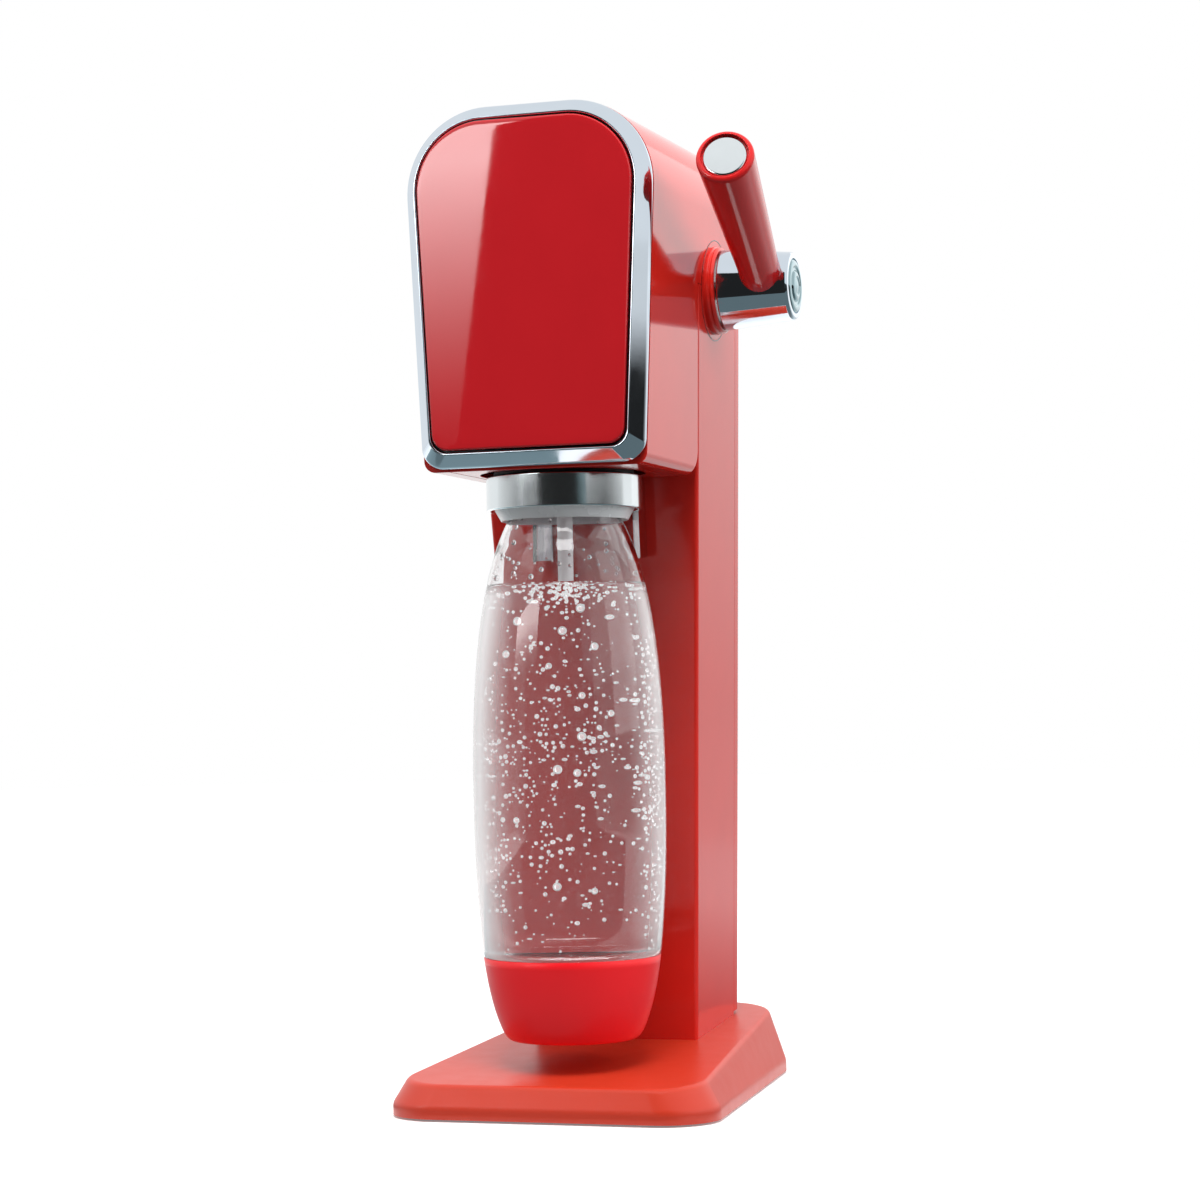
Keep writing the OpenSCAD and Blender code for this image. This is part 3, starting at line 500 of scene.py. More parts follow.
# ---- base, column and rear cover ----

BAND_Z = 5.9
BASE_TOP_FRONT_Z = 15.1
BASE_LIFT = 1
BEVEL_FRONT, BEVEL_SIDE, BEVEL_REAR = 3.5, 6.4, 7.3
BASE_FRONT_HALF, BASE_REAR_HALF = 73.5, 56.5
BASE_FRONT_R, BASE_REAR_R = 23, 30
CYLINDER_HOLE_R = 33


def base_top(y):
    return BASE_TOP_FRONT_Z + (y - FRONT_Y - BEVEL_FRONT) * tan(BASE_SLOPE)


def base_shell():
    outline = trapezoid(BASE_FRONT_HALF, BASE_REAR_HALF, FRONT_Y, REAR_Y, BASE_FRONT_R, BASE_REAR_R, steps=16)
    top_depth = (REAR_Y - FRONT_Y - BEVEL_FRONT - BEVEL_REAR) / cos(BASE_SLOPE)
    top = trapezoid(BASE_FRONT_HALF - BEVEL_SIDE, BASE_REAR_HALF - BEVEL_SIDE, 0, top_depth,
                    BASE_FRONT_R - 2, BASE_REAR_R - 2, steps=16)
    middle_y = (FRONT_Y + REAR_Y) / 2
    middle = Vector((0, middle_y, base_top(middle_y)))
    columns = []
    for (x, y), (tx, tv) in zip(outline, top):
        ty = FRONT_Y + BEVEL_FRONT + tv * cos(BASE_SLOPE)
        upper = Vector((tx, ty, base_top(ty)))
        inner = upper.lerp(middle, 0.06)
        points = [Vector((x, y, BASE_LIFT)), Vector((x, y, BAND_Z)), upper, inner]
        columns.append(soft(points, [0, 1.5, 2.2, 0], 5, closed=False))
    rows = [list(row) for row in zip(*columns)]
    obj = make("base_cover", skin(rows, end_cap=True), bevel=0.35, solid=WALL)
    applied(obj)
    axis_y = column_y(COLUMN_DEPTH / 2, 18)
    hole = lathe([(0, 6), (CYLINDER_HOLE_R, 6), (CYLINDER_HOLE_R, 60), (0, 60)],
                 Matrix.Translation((0, axis_y, 0)), 96)
    cut(obj, hole)
    obj.data.shade_smooth()
    obj.data.set_sharp_from_angle(angle=math.radians(40))
    even_normals(obj, keep_sharp=True)
    return finish_piece(obj, "frame", "red_base", MATERIALS["red_base"], "base_shell")


def on_base(depth):
    """The height where the plane that lies depth behind the column's front meets the base's top face."""
    slope = tan(BASE_SLOPE)
    return (base_top(0) + column_y(depth, 0) * slope) / (1 + tan(RAKE) * slope)


def body_rows(path, heights):
    """Rows of points up the body. path holds (side, inset, depth). x is side times the half-width less inset,
    and where side is 0 it is -inset. heights holds functions of the depth."""
    rows = []
    for level in heights:
        row = []
        for side, inset, depth in path:
            z = level(depth)
            x = side * (half(z) - inset) if side else -inset
            row.append((x, column_y(depth, z), z))
        rows.append(row)
    return rows


def round_corner(depth_edge, r, forward, steps=6):
    """(inset, depth) round a corner of the body between its side and its front or rear plane."""
    sign = 1 if forward else -1
    return [(r * (1 - cos(a)), depth_edge + sign * r * (1 - sin(a)))
            for a in [90 * i / steps for i in range(steps + 1)]]


def column_middle():
    """A point inside the column."""
    z = 200
    return Vector((0, column_y(COLUMN_DEPTH / 2, z), z))


def column_shell():
    corner = round_corner(0, 1.8, True)
    right = [(1, 0, COLUMN_DEPTH - COVER_DEPTH - COVER_GAP)] + [(1, i, d) for i, d in corner]
    inner = [(1, WALL + 1.5, 0), (-1, WALL + 1.5, 0)]
    path = right + inner + [(-s, i, d) for s, i, d in reversed(right)]
    heights = [on_base, lambda d: COLUMN_OPENING_Z, lambda d: COLUMN_TOP_Z]

    def keep(rows, j, i):
        return not (i == len(right) and rows[j][i][2] > COLUMN_OPENING_Z - 1)

    obj = make("column_casing", skin(body_rows(path, heights), around=False, keep=keep), recalc=False)
    outward(obj, column_middle())
    add_wall(obj, WALL, 0.3)
    return finish_piece(obj, "frame", "red_body", MATERIALS["red_body"], "column_shell")


def outward(obj, centre):
    """Turns an open skin's faces away from a point inside it."""
    bm = bmesh.new()
    bm.from_mesh(obj.data)
    bmesh.ops.recalc_face_normals(bm, faces=bm.faces)
    score = sum((f.calc_center_median() - centre * MM).dot(f.normal) * f.calc_area() for f in bm.faces)
    if score < 0:
        bmesh.ops.reverse_faces(bm, faces=bm.faces)
    bm.to_mesh(obj.data)
    bm.free()


def add_wall(obj, thickness, bevel):
    """Makes an open skin a wall with rounded edges."""
    obj.modifiers.clear()
    thicken(obj, thickness)
    round_edges(obj, bevel)
    even_normals(obj)


LATCH_HALF = 11.6
LATCH_PLAY = 0.25
LATCH_HEIGHT = 8


def rear_cover():
    corner = round_corner(COLUMN_DEPTH, 4.0, False, 8)
    right = [(1, 0, COLUMN_DEPTH - COVER_DEPTH)] + [(1, i, d) for i, d in corner]
    opening = LATCH_HALF + LATCH_PLAY
    latch_low = low("latch_button").z + 2 - LATCH_PLAY
    latch_high = high("latch_button").z - 2 + LATCH_PLAY
    path = right + [(0, -opening, COLUMN_DEPTH), (0, opening, COLUMN_DEPTH)]
    path += [(-s, i, d) for s, i, d in reversed(right)]
    heights = [lambda d: on_base(d) + 1.4, lambda d: latch_low, lambda d: latch_high, lambda d: COLUMN_TOP_Z]

    def keep(rows, j, i):
        return not (j == 1 and i == len(right))

    bm = skin(body_rows(path, heights), around=False, end_cap=True, keep=keep)
    obj = make("cylinder_cover", bm, recalc=False)
    outward(obj, column_middle())
    add_wall(obj, WALL - 0.1, 0.3)
    return finish_piece(obj, "cover", "red_body", MATERIALS["red_body"], "rear_cover")


def latch_button():
    middle_z = (low("latch_button").z + high("latch_button").z) / 2
    height = LATCH_HEIGHT * cos(RAKE)
    z0, z1 = middle_z - height / 2, middle_z + height / 2
    outline = trapezoid(LATCH_HALF, LATCH_HALF, z0, z1, 1.2, 1.2, steps=5)
    inner = trapezoid(LATCH_HALF - 0.8, LATCH_HALF - 0.8, z0 + 0.8, z1 - 0.8, 0.8, 0.8, steps=5)
    dish = trapezoid(LATCH_HALF - 2, LATCH_HALF - 2, z0 + 2, z1 - 2, 0.6, 0.6, steps=5)
    rows = []
    for points, depth in ((outline, -4.8), (outline, -0.5), (inner, -0.02), (dish, -0.1), (dish, -0.5)):
        rows.append([(x, column_y(COLUMN_DEPTH, z) + depth, z) for x, z in points])
    obj = make("latch_key", skin(rows, start_cap=True, end_cap=True), bevel=0.15)
    return finish_piece(obj, "latch", "red_body", MATERIALS["red_body"], "latch_button")


# ---- head ----

INSERT_HALF = 38
HEAD_CORNER_R = 6
HEAD_FRONT_STEPS = 6
REAR_R = 4.5
SLOT_R = 35
SLOT_LENGTH = 2.2


def head_outline(z0, z1, inset):
    """(x, z) outline of the head between z0 and z1, its sides moved in by inset."""
    w0, w1 = half(z0) - inset, half(z1) - inset
    bottom = [(0, z0), (INSERT_HALF, z0)]
    k = math.sqrt(1 + FLARE * FLARE)
    r0 = HEAD_EDGE_R
    corner = arc(w0 + FLARE * r0 - r0 * k, z0 + r0, r0, -90, -SIDE_ANGLE, 8)
    r1 = HEAD_TOP_R - inset * 0.5
    cap = arc(w1 - FLARE * r1 - r1 * k, z1 - r1, r1, -SIDE_ANGLE, 90, 20)
    side = [(half(HUB_Z) - inset, HUB_Z)]
    points = bottom + corner + side + cap
    return points + [(-x, z) for x, z in reversed(points[1:])]


def head_station(y_foot, lean, z0=HEAD_Z, inset=0.0, drop=0.0, raised=None):
    """A row of points on a plane that leans by lean, through y_foot at the head's underside.

    The row starts at height z0. drop lowers its top, and raised lifts every lower point to a height.
    """
    rise = math.atan((HEAD_TOP_Z - HEAD_FRONT_TOP_Z) / (column_y(COLUMN_DEPTH, HEAD_TOP_Z) - SHELL_Y))
    top_y = y_foot - (HEAD_TOP_Z - HEAD_Z) * lean
    z1 = HEAD_FRONT_TOP_Z + (top_y - SHELL_Y) * math.tan(rise) - drop
    row = []
    for x, z in head_outline(z0, z1, inset):
        if raised is not None and z < raised:
            x = math.copysign(min(abs(x), half(raised) - inset), x)
            if abs(x) > INSERT_HALF + 0.5:
                x = math.copysign(half(raised) - inset, x)
            z = raised
        row.append((x, y_foot - (z - HEAD_Z) * lean, z))
    return row


def head_rows():
    """The head's rows from front to rear, and the index of the last one in front of the column."""
    lean = tan(RAKE)
    back_foot = column_y(0, HEAD_Z) - HEAD_GAP
    start_foot = back_foot - HEAD_CORNER_R - HEAD_CORNER_R * lean
    rows = []
    for i in range(HEAD_FRONT_STEPS + 1):
        foot = SHELL_Y + (start_foot - SHELL_Y) * i / HEAD_FRONT_STEPS
        rows.append(head_station(foot, lean * i / HEAD_FRONT_STEPS))
    for i in range(1, 7):
        a = -90 + 15 * i
        z = HEAD_Z + HEAD_CORNER_R * (1 + sin(a))
        y = back_foot - HEAD_CORNER_R * lean - HEAD_CORNER_R * (1 - cos(a))
        rows.append(head_station(y + (z - HEAD_Z) * lean, lean, z))
    under = len(rows) - 1
    rows.append(head_station(back_foot, lean, raised=HUB_Z))
    rear_foot = column_y(COLUMN_DEPTH, HEAD_Z)
    rows.append(head_station(rear_foot - REAR_R, lean, raised=HUB_Z))
    for i in range(1, 9):
        a = 90 * i / 8
        inset = REAR_R * (1 - cos(a))
        foot = rear_foot - REAR_R * (1 - sin(a))
        rows.append(head_station(foot, lean, inset=inset, drop=inset, raised=HUB_Z))
    return rows, under


def head_shell():
    rows, under = head_rows()

    def keep(rows, j, i):
        """Leaves out the faces over the insert, the column and the cover."""
        a, b = rows[j][i], rows[j][(i + 1) % len(rows[j])]
        c, d = rows[j + 1][i], rows[j + 1][(i + 1) % len(rows[j])]
        inside = max(abs(a[0]), abs(b[0])) < INSERT_HALF + 0.01
        if j < HEAD_FRONT_STEPS:
            return not (inside and max(a[2], b[2]) < HEAD_Z + 0.1)
        if j == under:
            return not (inside and max(a[2], b[2]) < HUB_Z - 1)
        if j > under:
            return max(a[2], b[2], c[2], d[2]) > HUB_Z + 0.01
        return True

    obj = make("head_casing", skin(rows, end_cap=True, keep=keep), recalc=False)
    outward(obj, Vector((0, -30, 360)))
    add_wall(obj, WALL, 0.3)
    return finish_piece(obj, "frame", "red_body", MATERIALS["red_gloss"], "head_shell")


def head_underside():
    side = INSERT_HALF - 0.15
    back = column_y(0, HEAD_Z) - HEAD_GAP - HEAD_CORNER_R - 1.2
    plate = [(-side, SHELL_Y + 0.1), (side, SHELL_Y + 0.1), (side, back), (-side, back)]
    obj = make("head_insert", block(plate, HEAD_Z + 0.02, HEAD_Z + WALL))
    slot = arc(0, BOTTLE_Y, SLOT_R, 0, 180, 40) + arc(0, BOTTLE_Y - SLOT_LENGTH, SLOT_R, 180, 360, 40)
    cut(obj, block(slot, HEAD_Z - 5, HEAD_Z + 9))
    obj.data.shade_smooth()
    round_edges(obj, 0.5, 30)
    even_normals(obj)
    return finish_piece(obj, "frame", "red_body", MATERIALS["red_body"], "head_underside")


PANEL_Z0 = 272.4
PANEL_FOOT_R = 9.5
BEZEL_W = 6.4
GASKET_W = 0.9


def front_rows(profile):
    """Rows of the head's front outline for a profile of (inset, y)."""
    rows = []
    for inset, y in profile:
        points = trapezoid(half(PANEL_Z0) - inset, half(HEAD_FRONT_TOP_Z) - inset,
                           PANEL_Z0 + inset, HEAD_FRONT_TOP_Z - inset,
                           PANEL_FOOT_R - inset * 0.35, HEAD_TOP_R - inset, steps=20)
        rows.append([(x, y, z) for x, z in points])
    return rows


def bezel_frame():
    front = low("bezel_frame").y
    profile = soft([(0.1, SHELL_Y), (0.1, SHELL_Y - 2.7), (5.6, front + 0.15), (BEZEL_W, front + 0.55),
                    (BEZEL_W, SHELL_Y)], [0, 2.4, 1.2, 0.5, 0], 7)
    rows = front_rows(profile)
    obj = make("chrome_bezel", skin(rows + [rows[0]]))
    return finish_piece(obj, "frame", "chrome_trim", MATERIALS["chrome_trim"], "bezel_frame")


def panel_gasket():
    front = low("panel_gasket").y
    profile = soft([(BEZEL_W + 0.02, SHELL_Y), (BEZEL_W + 0.02, front), (BEZEL_W + GASKET_W - 0.02, front),
                    (BEZEL_W + GASKET_W - 0.02, SHELL_Y)], [0, 0.3, 0.3, 0], 3)
    rows = front_rows(profile)
    obj = make("dark_joint", skin(rows + [rows[0]]))
    return finish_piece(obj, "frame", "black_gloss", MATERIALS["black_gloss"], "panel_gasket")


def front_panel():
    front = low("front_panel").y
    edge = BEZEL_W + GASKET_W
    profile = soft([(edge, SHELL_Y), (edge, front + 0.1), (edge + 2.2, front + 0.02),
                    (edge + 5, front + 0.005)], [0, 0.9, 0.5, 0], 6, closed=False)
    obj = make("glossy_panel", skin(front_rows(profile), end_cap=True))
    outward(obj, Vector((0, SHELL_Y + 40, 350)))
    add_wall(obj, 2.2, 0)
    return finish_piece(obj, "frame", "red_panel", MATERIALS["red_panel"], "front_panel")


# ---- lever ----

HANDLE_X = 75.7
HANDLE_RISE = 20.6
HANDLE_SPLAY = 5.7
HANDLE_LENGTH = 113.5
HANDLE_R = 9.2
HANDLE_END_R = 12.15
DISC_RECESS = 1.6


def along_handle():
    """Local Z runs from the lever's axis along the handle."""
    rise = Matrix.Rotation(math.radians(90 - HANDLE_RISE), 4, "X")
    splay = Matrix.Rotation(math.radians(HANDLE_SPLAY), 4, "Y")
    return Matrix.Translation((HANDLE_X, HUB_Y, HUB_Z)) @ rise @ splay


def on_side():
    """Local Z stands square to the body's side at the lever's axis."""
    tilt = Matrix.Rotation(math.radians(90 + SIDE_ANGLE), 4, "Y")
    return Matrix.Translation((half(HUB_Z), HUB_Y, HUB_Z)) @ tilt


def hub_collar():
    x0, x1 = half(HUB_Z) - 3, high("hub_collar").x
    plate = soft([(9, -2.2), (21.9, -2.2), (21.9, 0.12), (9, 0.12)], [0, 0, 0.35, 0], 4)
    boss = soft([(9, x0), (19.5, x0), (19.5, x1 - 2.6), (18.7, x1 - 2.2), (18.7, x1 - 1.7), (19.2, x1 - 1.3),
                 (18.6, x1), (9, x1)], [0, 0, 0.6, 0.2, 0.2, 0.5, 0.9, 0], 4)
    both = bmesh.new()
    for part in (lathe(plate, on_side()), lathe(boss, along_x())):
        mesh = bpy.data.meshes.new("part")
        part.to_mesh(mesh)
        part.free()
        both.from_mesh(mesh)
        bpy.data.meshes.remove(mesh)
    obj = make("lever_collar", both)
    return finish_piece(obj, "frame", "red_body", MATERIALS["red_gloss"], "hub_collar")


def collar_joint():
    """The dark joint round the collar's seat in the body's side."""
    profile = soft([(21.95, -1), (22.4, -1), (22.4, 0.1), (21.95, 0.1)], [0, 0, 0.1, 0.1], 2)
    obj = make("collar_joint", lathe(profile, on_side(), 160))
    return finish_piece(obj, "frame", "black_gloss", MATERIALS["black_gloss"])


def lever_hub():
    x0, x1 = low("lever_hub").x, high("lever_hub").x
    profile = soft([(4.1, x0), (17.9, x0), (15.05, x1 - 1.0), (14.2, x1), (12.1, x1), (12.1, x1 - 2),
                    (4.1, x1 - 2)], [0, 0.7, 0.7, 0.5, 0.3, 0, 0], 5)
    obj = make("chrome_hub", lathe(profile, along_x()))
    return finish_piece(obj, "lever", "chrome_trim", MATERIALS["chrome_trim"], "lever_hub")


def hub_end_cap():
    profile = soft([(0, 0), (11.9, 0), (11.9, 1.5), (10.9, 2.5), (9.0, 2.7), (8.2, 1.9), (6.9, 1.9),
                    (6.1, 2.9), (4.4, 3.3), (3.7, 2.7), (2.9, 2.9), (0, 3.5)],
                   [0, 0, 0.5, 0.8, 0.6, 0.4, 0.4, 0.6, 0.5, 0.3, 0.5, 0], 4)
    obj = make("hub_ornament", lathe(profile, along_x(low("hub_end_cap").x)))
    return finish_piece(obj, "lever", "chrome_trim", MATERIALS["dark_chrome_painted_teal"], "hub_end_cap")


def lever_handle():
    end, taper, lip = HANDLE_LENGTH, 24, 2.2
    profile = [(0, 8), (HANDLE_R, 8), (HANDLE_R, taper)]
    profile += [(HANDLE_R + (HANDLE_END_R - HANDLE_R) * t, taper + (end - 26) * t) for t in (0.2, 0.5, 0.8)]
    profile += arc(HANDLE_END_R - lip, end - lip, lip, 0, 90, 10)
    recess = end - DISC_RECESS
    profile += soft([(9.95, end), (9.9, recess), (0, recess)], [0.25, 0.2, 0], 3, closed=False)
    obj = make("red_handle", lathe(profile, along_handle(), 96))
    return finish_piece(obj, "lever", "red_body", MATERIALS["red_handle"], "lever_handle")


def handle_end_cap():
    base = HANDLE_LENGTH - DISC_RECESS
    profile = soft([(0, base), (9.15, base), (9.15, base + 0.75), (8.6, base + 1.15), (0, base + 1.4)],
                   [0, 0, 0.25, 0.4, 0], 4)
    obj = make("handle_disc", lathe(profile, along_handle(), 96))
    return finish_piece(obj, "lever", "silver_metal", MATERIALS["silver_metal"], "handle_end_cap")


# ---- holder ----

def bottle_ring():
    z0, z1 = low("bottle_ring").z, high("bottle_ring").z
    profile = soft([(30.2, z0 + 1.4), (31.6, z0 + 0.1), (33.5, z0), (33.5, z1), (30.2, z1)],
                   [0.2, 0.4, 0.8, 0.9, 0], 6)
    obj = make("silver_ring", lathe(profile, on_bottle(), 160))
    return finish_piece(obj, "holder", "silver_metal", MATERIALS["silver_metal"], "bottle_ring")


def ring_collar():
    z0, z1 = low("ring_collar").z, high("ring_collar").z
    profile = soft([(25.7, z0 + 1.0), (27.2, z0), (30.1, 256.6), (30.1, z1), (23.2, z1)],
                   [0.5, 0.6, 0.4, 0, 0], 5)
    obj = make("milky_collar", lathe(profile, on_bottle()))
    return finish_piece(obj, "holder", "white_plastic", MATERIALS["milky_plastic"], "ring_collar")


def nozzle_tube():
    z0, z1 = low("nozzle_tube").z, high("nozzle_tube").z
    profile = soft([(1.2, z0), (3.35, z0), (3.35, z1), (1.2, z1)], [0.3, 0.6, 0, 0], 4)
    obj = make("dip_tube", lathe(profile, on_bottle(), 64))
    return finish_piece(obj, "holder", "white_plastic", MATERIALS["white_plastic"], "nozzle_tube")


def holder_bracket():
    """A folded sheet staple on the column's front: two flanges with narrow feet and a bar behind the ring."""
    side, depth, sheet, foot = 25.0, 13.0, 2.0, 6.0
    levels = (233.0, 258.0, 267.0)
    path = soft([(-side, -depth), (-side, 0), (foot - side, 0), (side - foot, 0), (side, 0), (side, -depth)],
                [0, 2.6, 0, 0, 2.6, 0], 6, closed=False)
    rows = []
    for s in levels:
        row = []
        for x, n in path:
            z = COLUMN_FOOT_Z + s * cos(RAKE) + (n - COLUMN_HALF) * sin(RAKE)
            row.append((x, column_y(0, z) + n / cos(RAKE), z))
        rows.append(row)

    def keep(rows, j, i):
        return j > 0 or max(abs(rows[j][i][0]), abs(rows[j][i + 1][0])) > side - foot + 0.1

    obj = make("steel_channel", skin(rows, around=False, keep=keep), recalc=False)
    outward(obj, Vector((0, column_y(0, 250) - 9, 250)))
    add_wall(obj, sheet, 0.3)
    return finish_piece(obj, "frame", "silver_metal", MATERIALS["silver_metal"], "holder_bracket")


# ---- bottle ----

BELLY_R = 41.3
CUP_R = 37.9
CUP_Z = 65.5
BOTTLE_Z = 30
MOUTH_Z = 285.8
BOTTLE_WALL = 1.2
WATER_Z = 223.7
BOTTLE_MOUTH_R = 11
CUP_WALL = 2.1

FOOT = bezier((28, BOTTLE_Z), (35, 42), (CUP_R, CUP_Z), 14)
LOWER = bezier((CUP_R, CUP_Z), (BELLY_R, 95), (BELLY_R, 130), 20)
SHOULDER = bezier((BELLY_R, 140), (BELLY_R, 205), (30.3, 238), 24)
NECK = bezier((30.3, 238), (25.6, 252), (18.5, 262), 12)
OUTLINE = FOOT + LOWER + SHOULDER + NECK


def inward(points, distance):
    """Profile points moved towards the axis."""
    return [Vector((max(p[0] - distance, 0), p[1])) for p in points]


def bottle_body():
    foot = [p for p in inward(FOOT, 2.25) if p[1] > BOTTLE_Z + 3]
    floor_z = foot[0][1]
    outer = [(0, floor_z + 1.5), (12, floor_z + 0.6), (foot[0][0] - 4, floor_z - 0.6)] + foot[1:-1]
    outer += [(CUP_R - 2.3, CUP_Z - 0.4), (CUP_R - 0.1, CUP_Z + 0.3)] + LOWER[1:] + SHOULDER + NECK[1:]
    outer += soft([(15, 266), (14.2, 268), (14.2, 275), (15.5, 275.4), (15.5, 277), (14.2, 277.6),
                   (14.2, MOUTH_Z - 0.5)], 0.4, 2, closed=False)
    outer += [(13.6, MOUTH_Z), (BOTTLE_MOUTH_R + 0.6, MOUTH_Z), (BOTTLE_MOUTH_R, MOUTH_Z - 0.6),
              (BOTTLE_MOUTH_R, 268)]
    inner = inward(reversed(NECK), 1.6)[:-1] + inward(reversed(SHOULDER), BOTTLE_WALL)
    inner += [Vector((water_radius(p[1]), p[1])) for p in reversed(FOOT[:-1] + LOWER[:-1])]
    inner = [p for p in inner if p[1] > floor_z + 2.0]
    inner += [(inner[-1][0] - 3, floor_z + 1.6), (12, floor_z + 2.2), (0, floor_z + 3.0)]
    obj = make("clear_bottle", lathe(outer + inner, on_bottle(), 160))
    return finish_piece(obj, "bottle", "clear_bottle", MATERIALS["clear_bottle"], "bottle_body")


def water_radius(z):
    """The bottle's inner radius at height z."""
    for p, q in zip(OUTLINE, OUTLINE[1:]):
        if p[1] <= z <= q[1] and q[1] > p[1]:
            t = (z - p[1]) / (q[1] - p[1])
            thick = min(max((CUP_Z + 12 - z) / 12, 0), 1)
            inset = BOTTLE_WALL + 2.25 * thick * thick * (3 - 2 * thick)
            return p[0] * (1 - t) + q[0] * t - inset
    return 0


@functools.lru_cache(maxsize=None)
def unit_ball(subdivisions):
    bm = bmesh.new()
    bmesh.ops.create_icosphere(bm, subdivisions=subdivisions, radius=1)
    points = [v.co.copy() for v in bm.verts]
    faces = [[v.index for v in f.verts] for f in bm.faces]
    bm.free()
    return points, faces


def balls(name, places, inside_out, squash=1.0):
    """One object of many small balls, from (centre, radius) in millimetres."""
    points, faces = [], []
    for centre, r in places:
        unit, sides = unit_ball(3 if r > 0.6 else 2)
        start = len(points)
        points += [(centre + Vector((p.x, p.y, p.z * squash)) * r) * MM for p in unit]
        faces += [[start + i for i in (reversed(f) if inside_out else f)] for f in sides]
    mesh = bpy.data.meshes.new(name)
    mesh.from_pydata(points, [], faces)
    mesh.shade_smooth()
    return link_mesh(name, mesh)


STREAKS = (  # angle, spread of angle, groups, most usual height, most usual radius
    (-10, 9, 190, 150, 0.7),
    (-102, 9, 70, 150, 0.35),
    (-84, 5, 60, 170, 0.5),
    (-57, 8, 60, 160, 0.4),
    (178, 9, 80, 150, 0.5),
    (70, 30, 60, 150, 0.4),
    (-125, 8, 70, 110, 0.5),
)


def bubble_places(rng):
    """Bubbles on the wall in streaks and singly, a crowd under the surface, some loose, and a few large."""
    places = []

    def turn():
        return rng.uniform(0, 360)

    def add(angle, z, gap, r):
        """A bubble that is gap in from the wall, where there is room for it."""
        limit = water_radius(z) - 0.25 - r
        if limit <= 0 or z + r > WATER_Z - 0.4:
            return
        q = max(limit - gap, 0)
        centre = Vector((q * cos(angle), BOTTLE_Y + q * sin(angle), z))
        if all((centre - c).length > r + s + 0.05 for c, s in places):
            places.append((centre, r))

    for angle, spread, count, mode, size in STREAKS:
        for _ in range(count):
            z = rng.triangular(66, 221, mode)
            for _ in range(rng.randint(1, 3)):
                add(rng.gauss(angle, spread), z + rng.gauss(0, 3), 0, rng.triangular(0.2, 1.15, size))
    for _ in range(330):
        add(turn(), rng.triangular(45, 222, 190), abs(rng.gauss(0, 1.5)), rng.triangular(0.16, 0.6, 0.25))
    for _ in range(260):
        add(turn(), WATER_Z - abs(rng.gauss(0, 5)), rng.uniform(0, 34), rng.triangular(0.2, 1.0, 0.4))
    for _ in range(90):
        add(turn(), WATER_Z - abs(rng.gauss(0, 7)), rng.uniform(28, 40), rng.triangular(0.3, 1.0, 0.5))
    for _ in range(60):
        add(turn(), rng.uniform(60, 215), rng.uniform(4, 36), rng.triangular(0.3, 1.0, 0.5))
    for _ in range(18):
        add(rng.uniform(-130, -30), rng.uniform(90, 218), rng.uniform(0, 2), rng.uniform(1.3, 2.0))
    return places


def water():
    """The water, a little into the bottle's wall, with a meniscus at its edge."""
    foot_z, overlap, steps = 36, 0.12, 60
    surface_r = water_radius(WATER_Z)
    heights = [foot_z + (WATER_Z - 0.9 - foot_z) * i / steps for i in range(steps + 1)]
    side = [(water_radius(z) + overlap, z) for z in heights]
    top = [(surface_r + overlap - 0.05, WATER_Z + 0.5), (surface_r - 1.0, WATER_Z),
           (surface_r - 4, WATER_Z - 0.25), (0, WATER_Z - 0.25)]
    profile = [(0, foot_z), (side[0][0] - 3, foot_z)] + side + top
    obj = make("soda_water", lathe(profile, on_bottle()), recalc=False)
    obj.modifiers.clear()
    return finish_piece(obj, "bottle", "clear_bottle", MATERIALS["water"])


def bubbles():
    """Gas bubbles in the water, as the inside faces of small cavities, with painted white rims and a painted glow.
    """
    obj = balls("soda_bubbles", bubble_places(random.Random(SEED)), True)
    return finish_piece(obj, "bottle", "clear_bottle", MATERIALS["bubble"])


def droplets():
    """Drops on the inside of the bottle above the water."""
    rng = random.Random(SEED + 1)
    spots = []
    while len(spots) < 70:
        z = rng.triangular(WATER_Z + 1, 256, 228)
        angle = rng.uniform(0, 360)
        r = rng.triangular(0.3, 1.3, 0.5)
        q = water_radius(z) - 0.35 * r
        centre = Vector((q * cos(angle), BOTTLE_Y + q * sin(angle), z))
        if all((centre - c).length > r + s + 0.1 for c, s in spots):
            spots.append((centre, r))
    obj = balls("wall_drops", spots, False, 1.1)
    return finish_piece(obj, "bottle", "clear_bottle", MATERIALS["water"])


def bottle_cup():
    edge = soft([(22, BOTTLE_Z), (27.4, BOTTLE_Z), FOOT[2]], [0, 3, 0], 6, closed=False)
    outer = [(0, BOTTLE_Z + 0.6), (18, BOTTLE_Z + 0.6), (20, BOTTLE_Z)] + edge[1:] + FOOT[3:-1]
    outer += soft([FOOT[-1], (CUP_R, CUP_Z), (CUP_R - CUP_WALL, CUP_Z)], [0, 0.5, 0], 4, closed=False)[1:]
    inner = [p for p in inward(reversed(FOOT), CUP_WALL)[1:] if p[1] > BOTTLE_Z + 2.5]
    obj = make("red_cup", lathe(outer + inner + [(0, BOTTLE_Z + 2.4)], on_bottle(), 160))
    return finish_piece(obj, "bottle", "red_cup", MATERIALS["red_cup"], "bottle_cup")


# ---- inside, and carried-over CAD nodes ----

def coil(name, node_name, slide):
    """A spring's own coil, copied from its CAD node; its fixed foot along its joint is found but not used."""
    obj = link_mesh(name, frame["nodes"][node_name].data.copy())
    push = Vector(joint(slide)["axis"]).normalized()
    reach = [v.co.dot(push) for v in obj.data.vertices]
    foot, length = push * max(reach), max(reach) - min(reach)
    travel = max(abs(limit) for limit in joint(slide)["range_m"])
    finish_piece(obj, "frame", "steel", MATERIALS["steel"], node_name)
    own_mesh(obj)
    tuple(foot)


def valve_springs():
    coil("plunger_coil", "plunger_spring", "plunger_slide")
    coil("pin_coil", "pin_spring", "pin_slide")


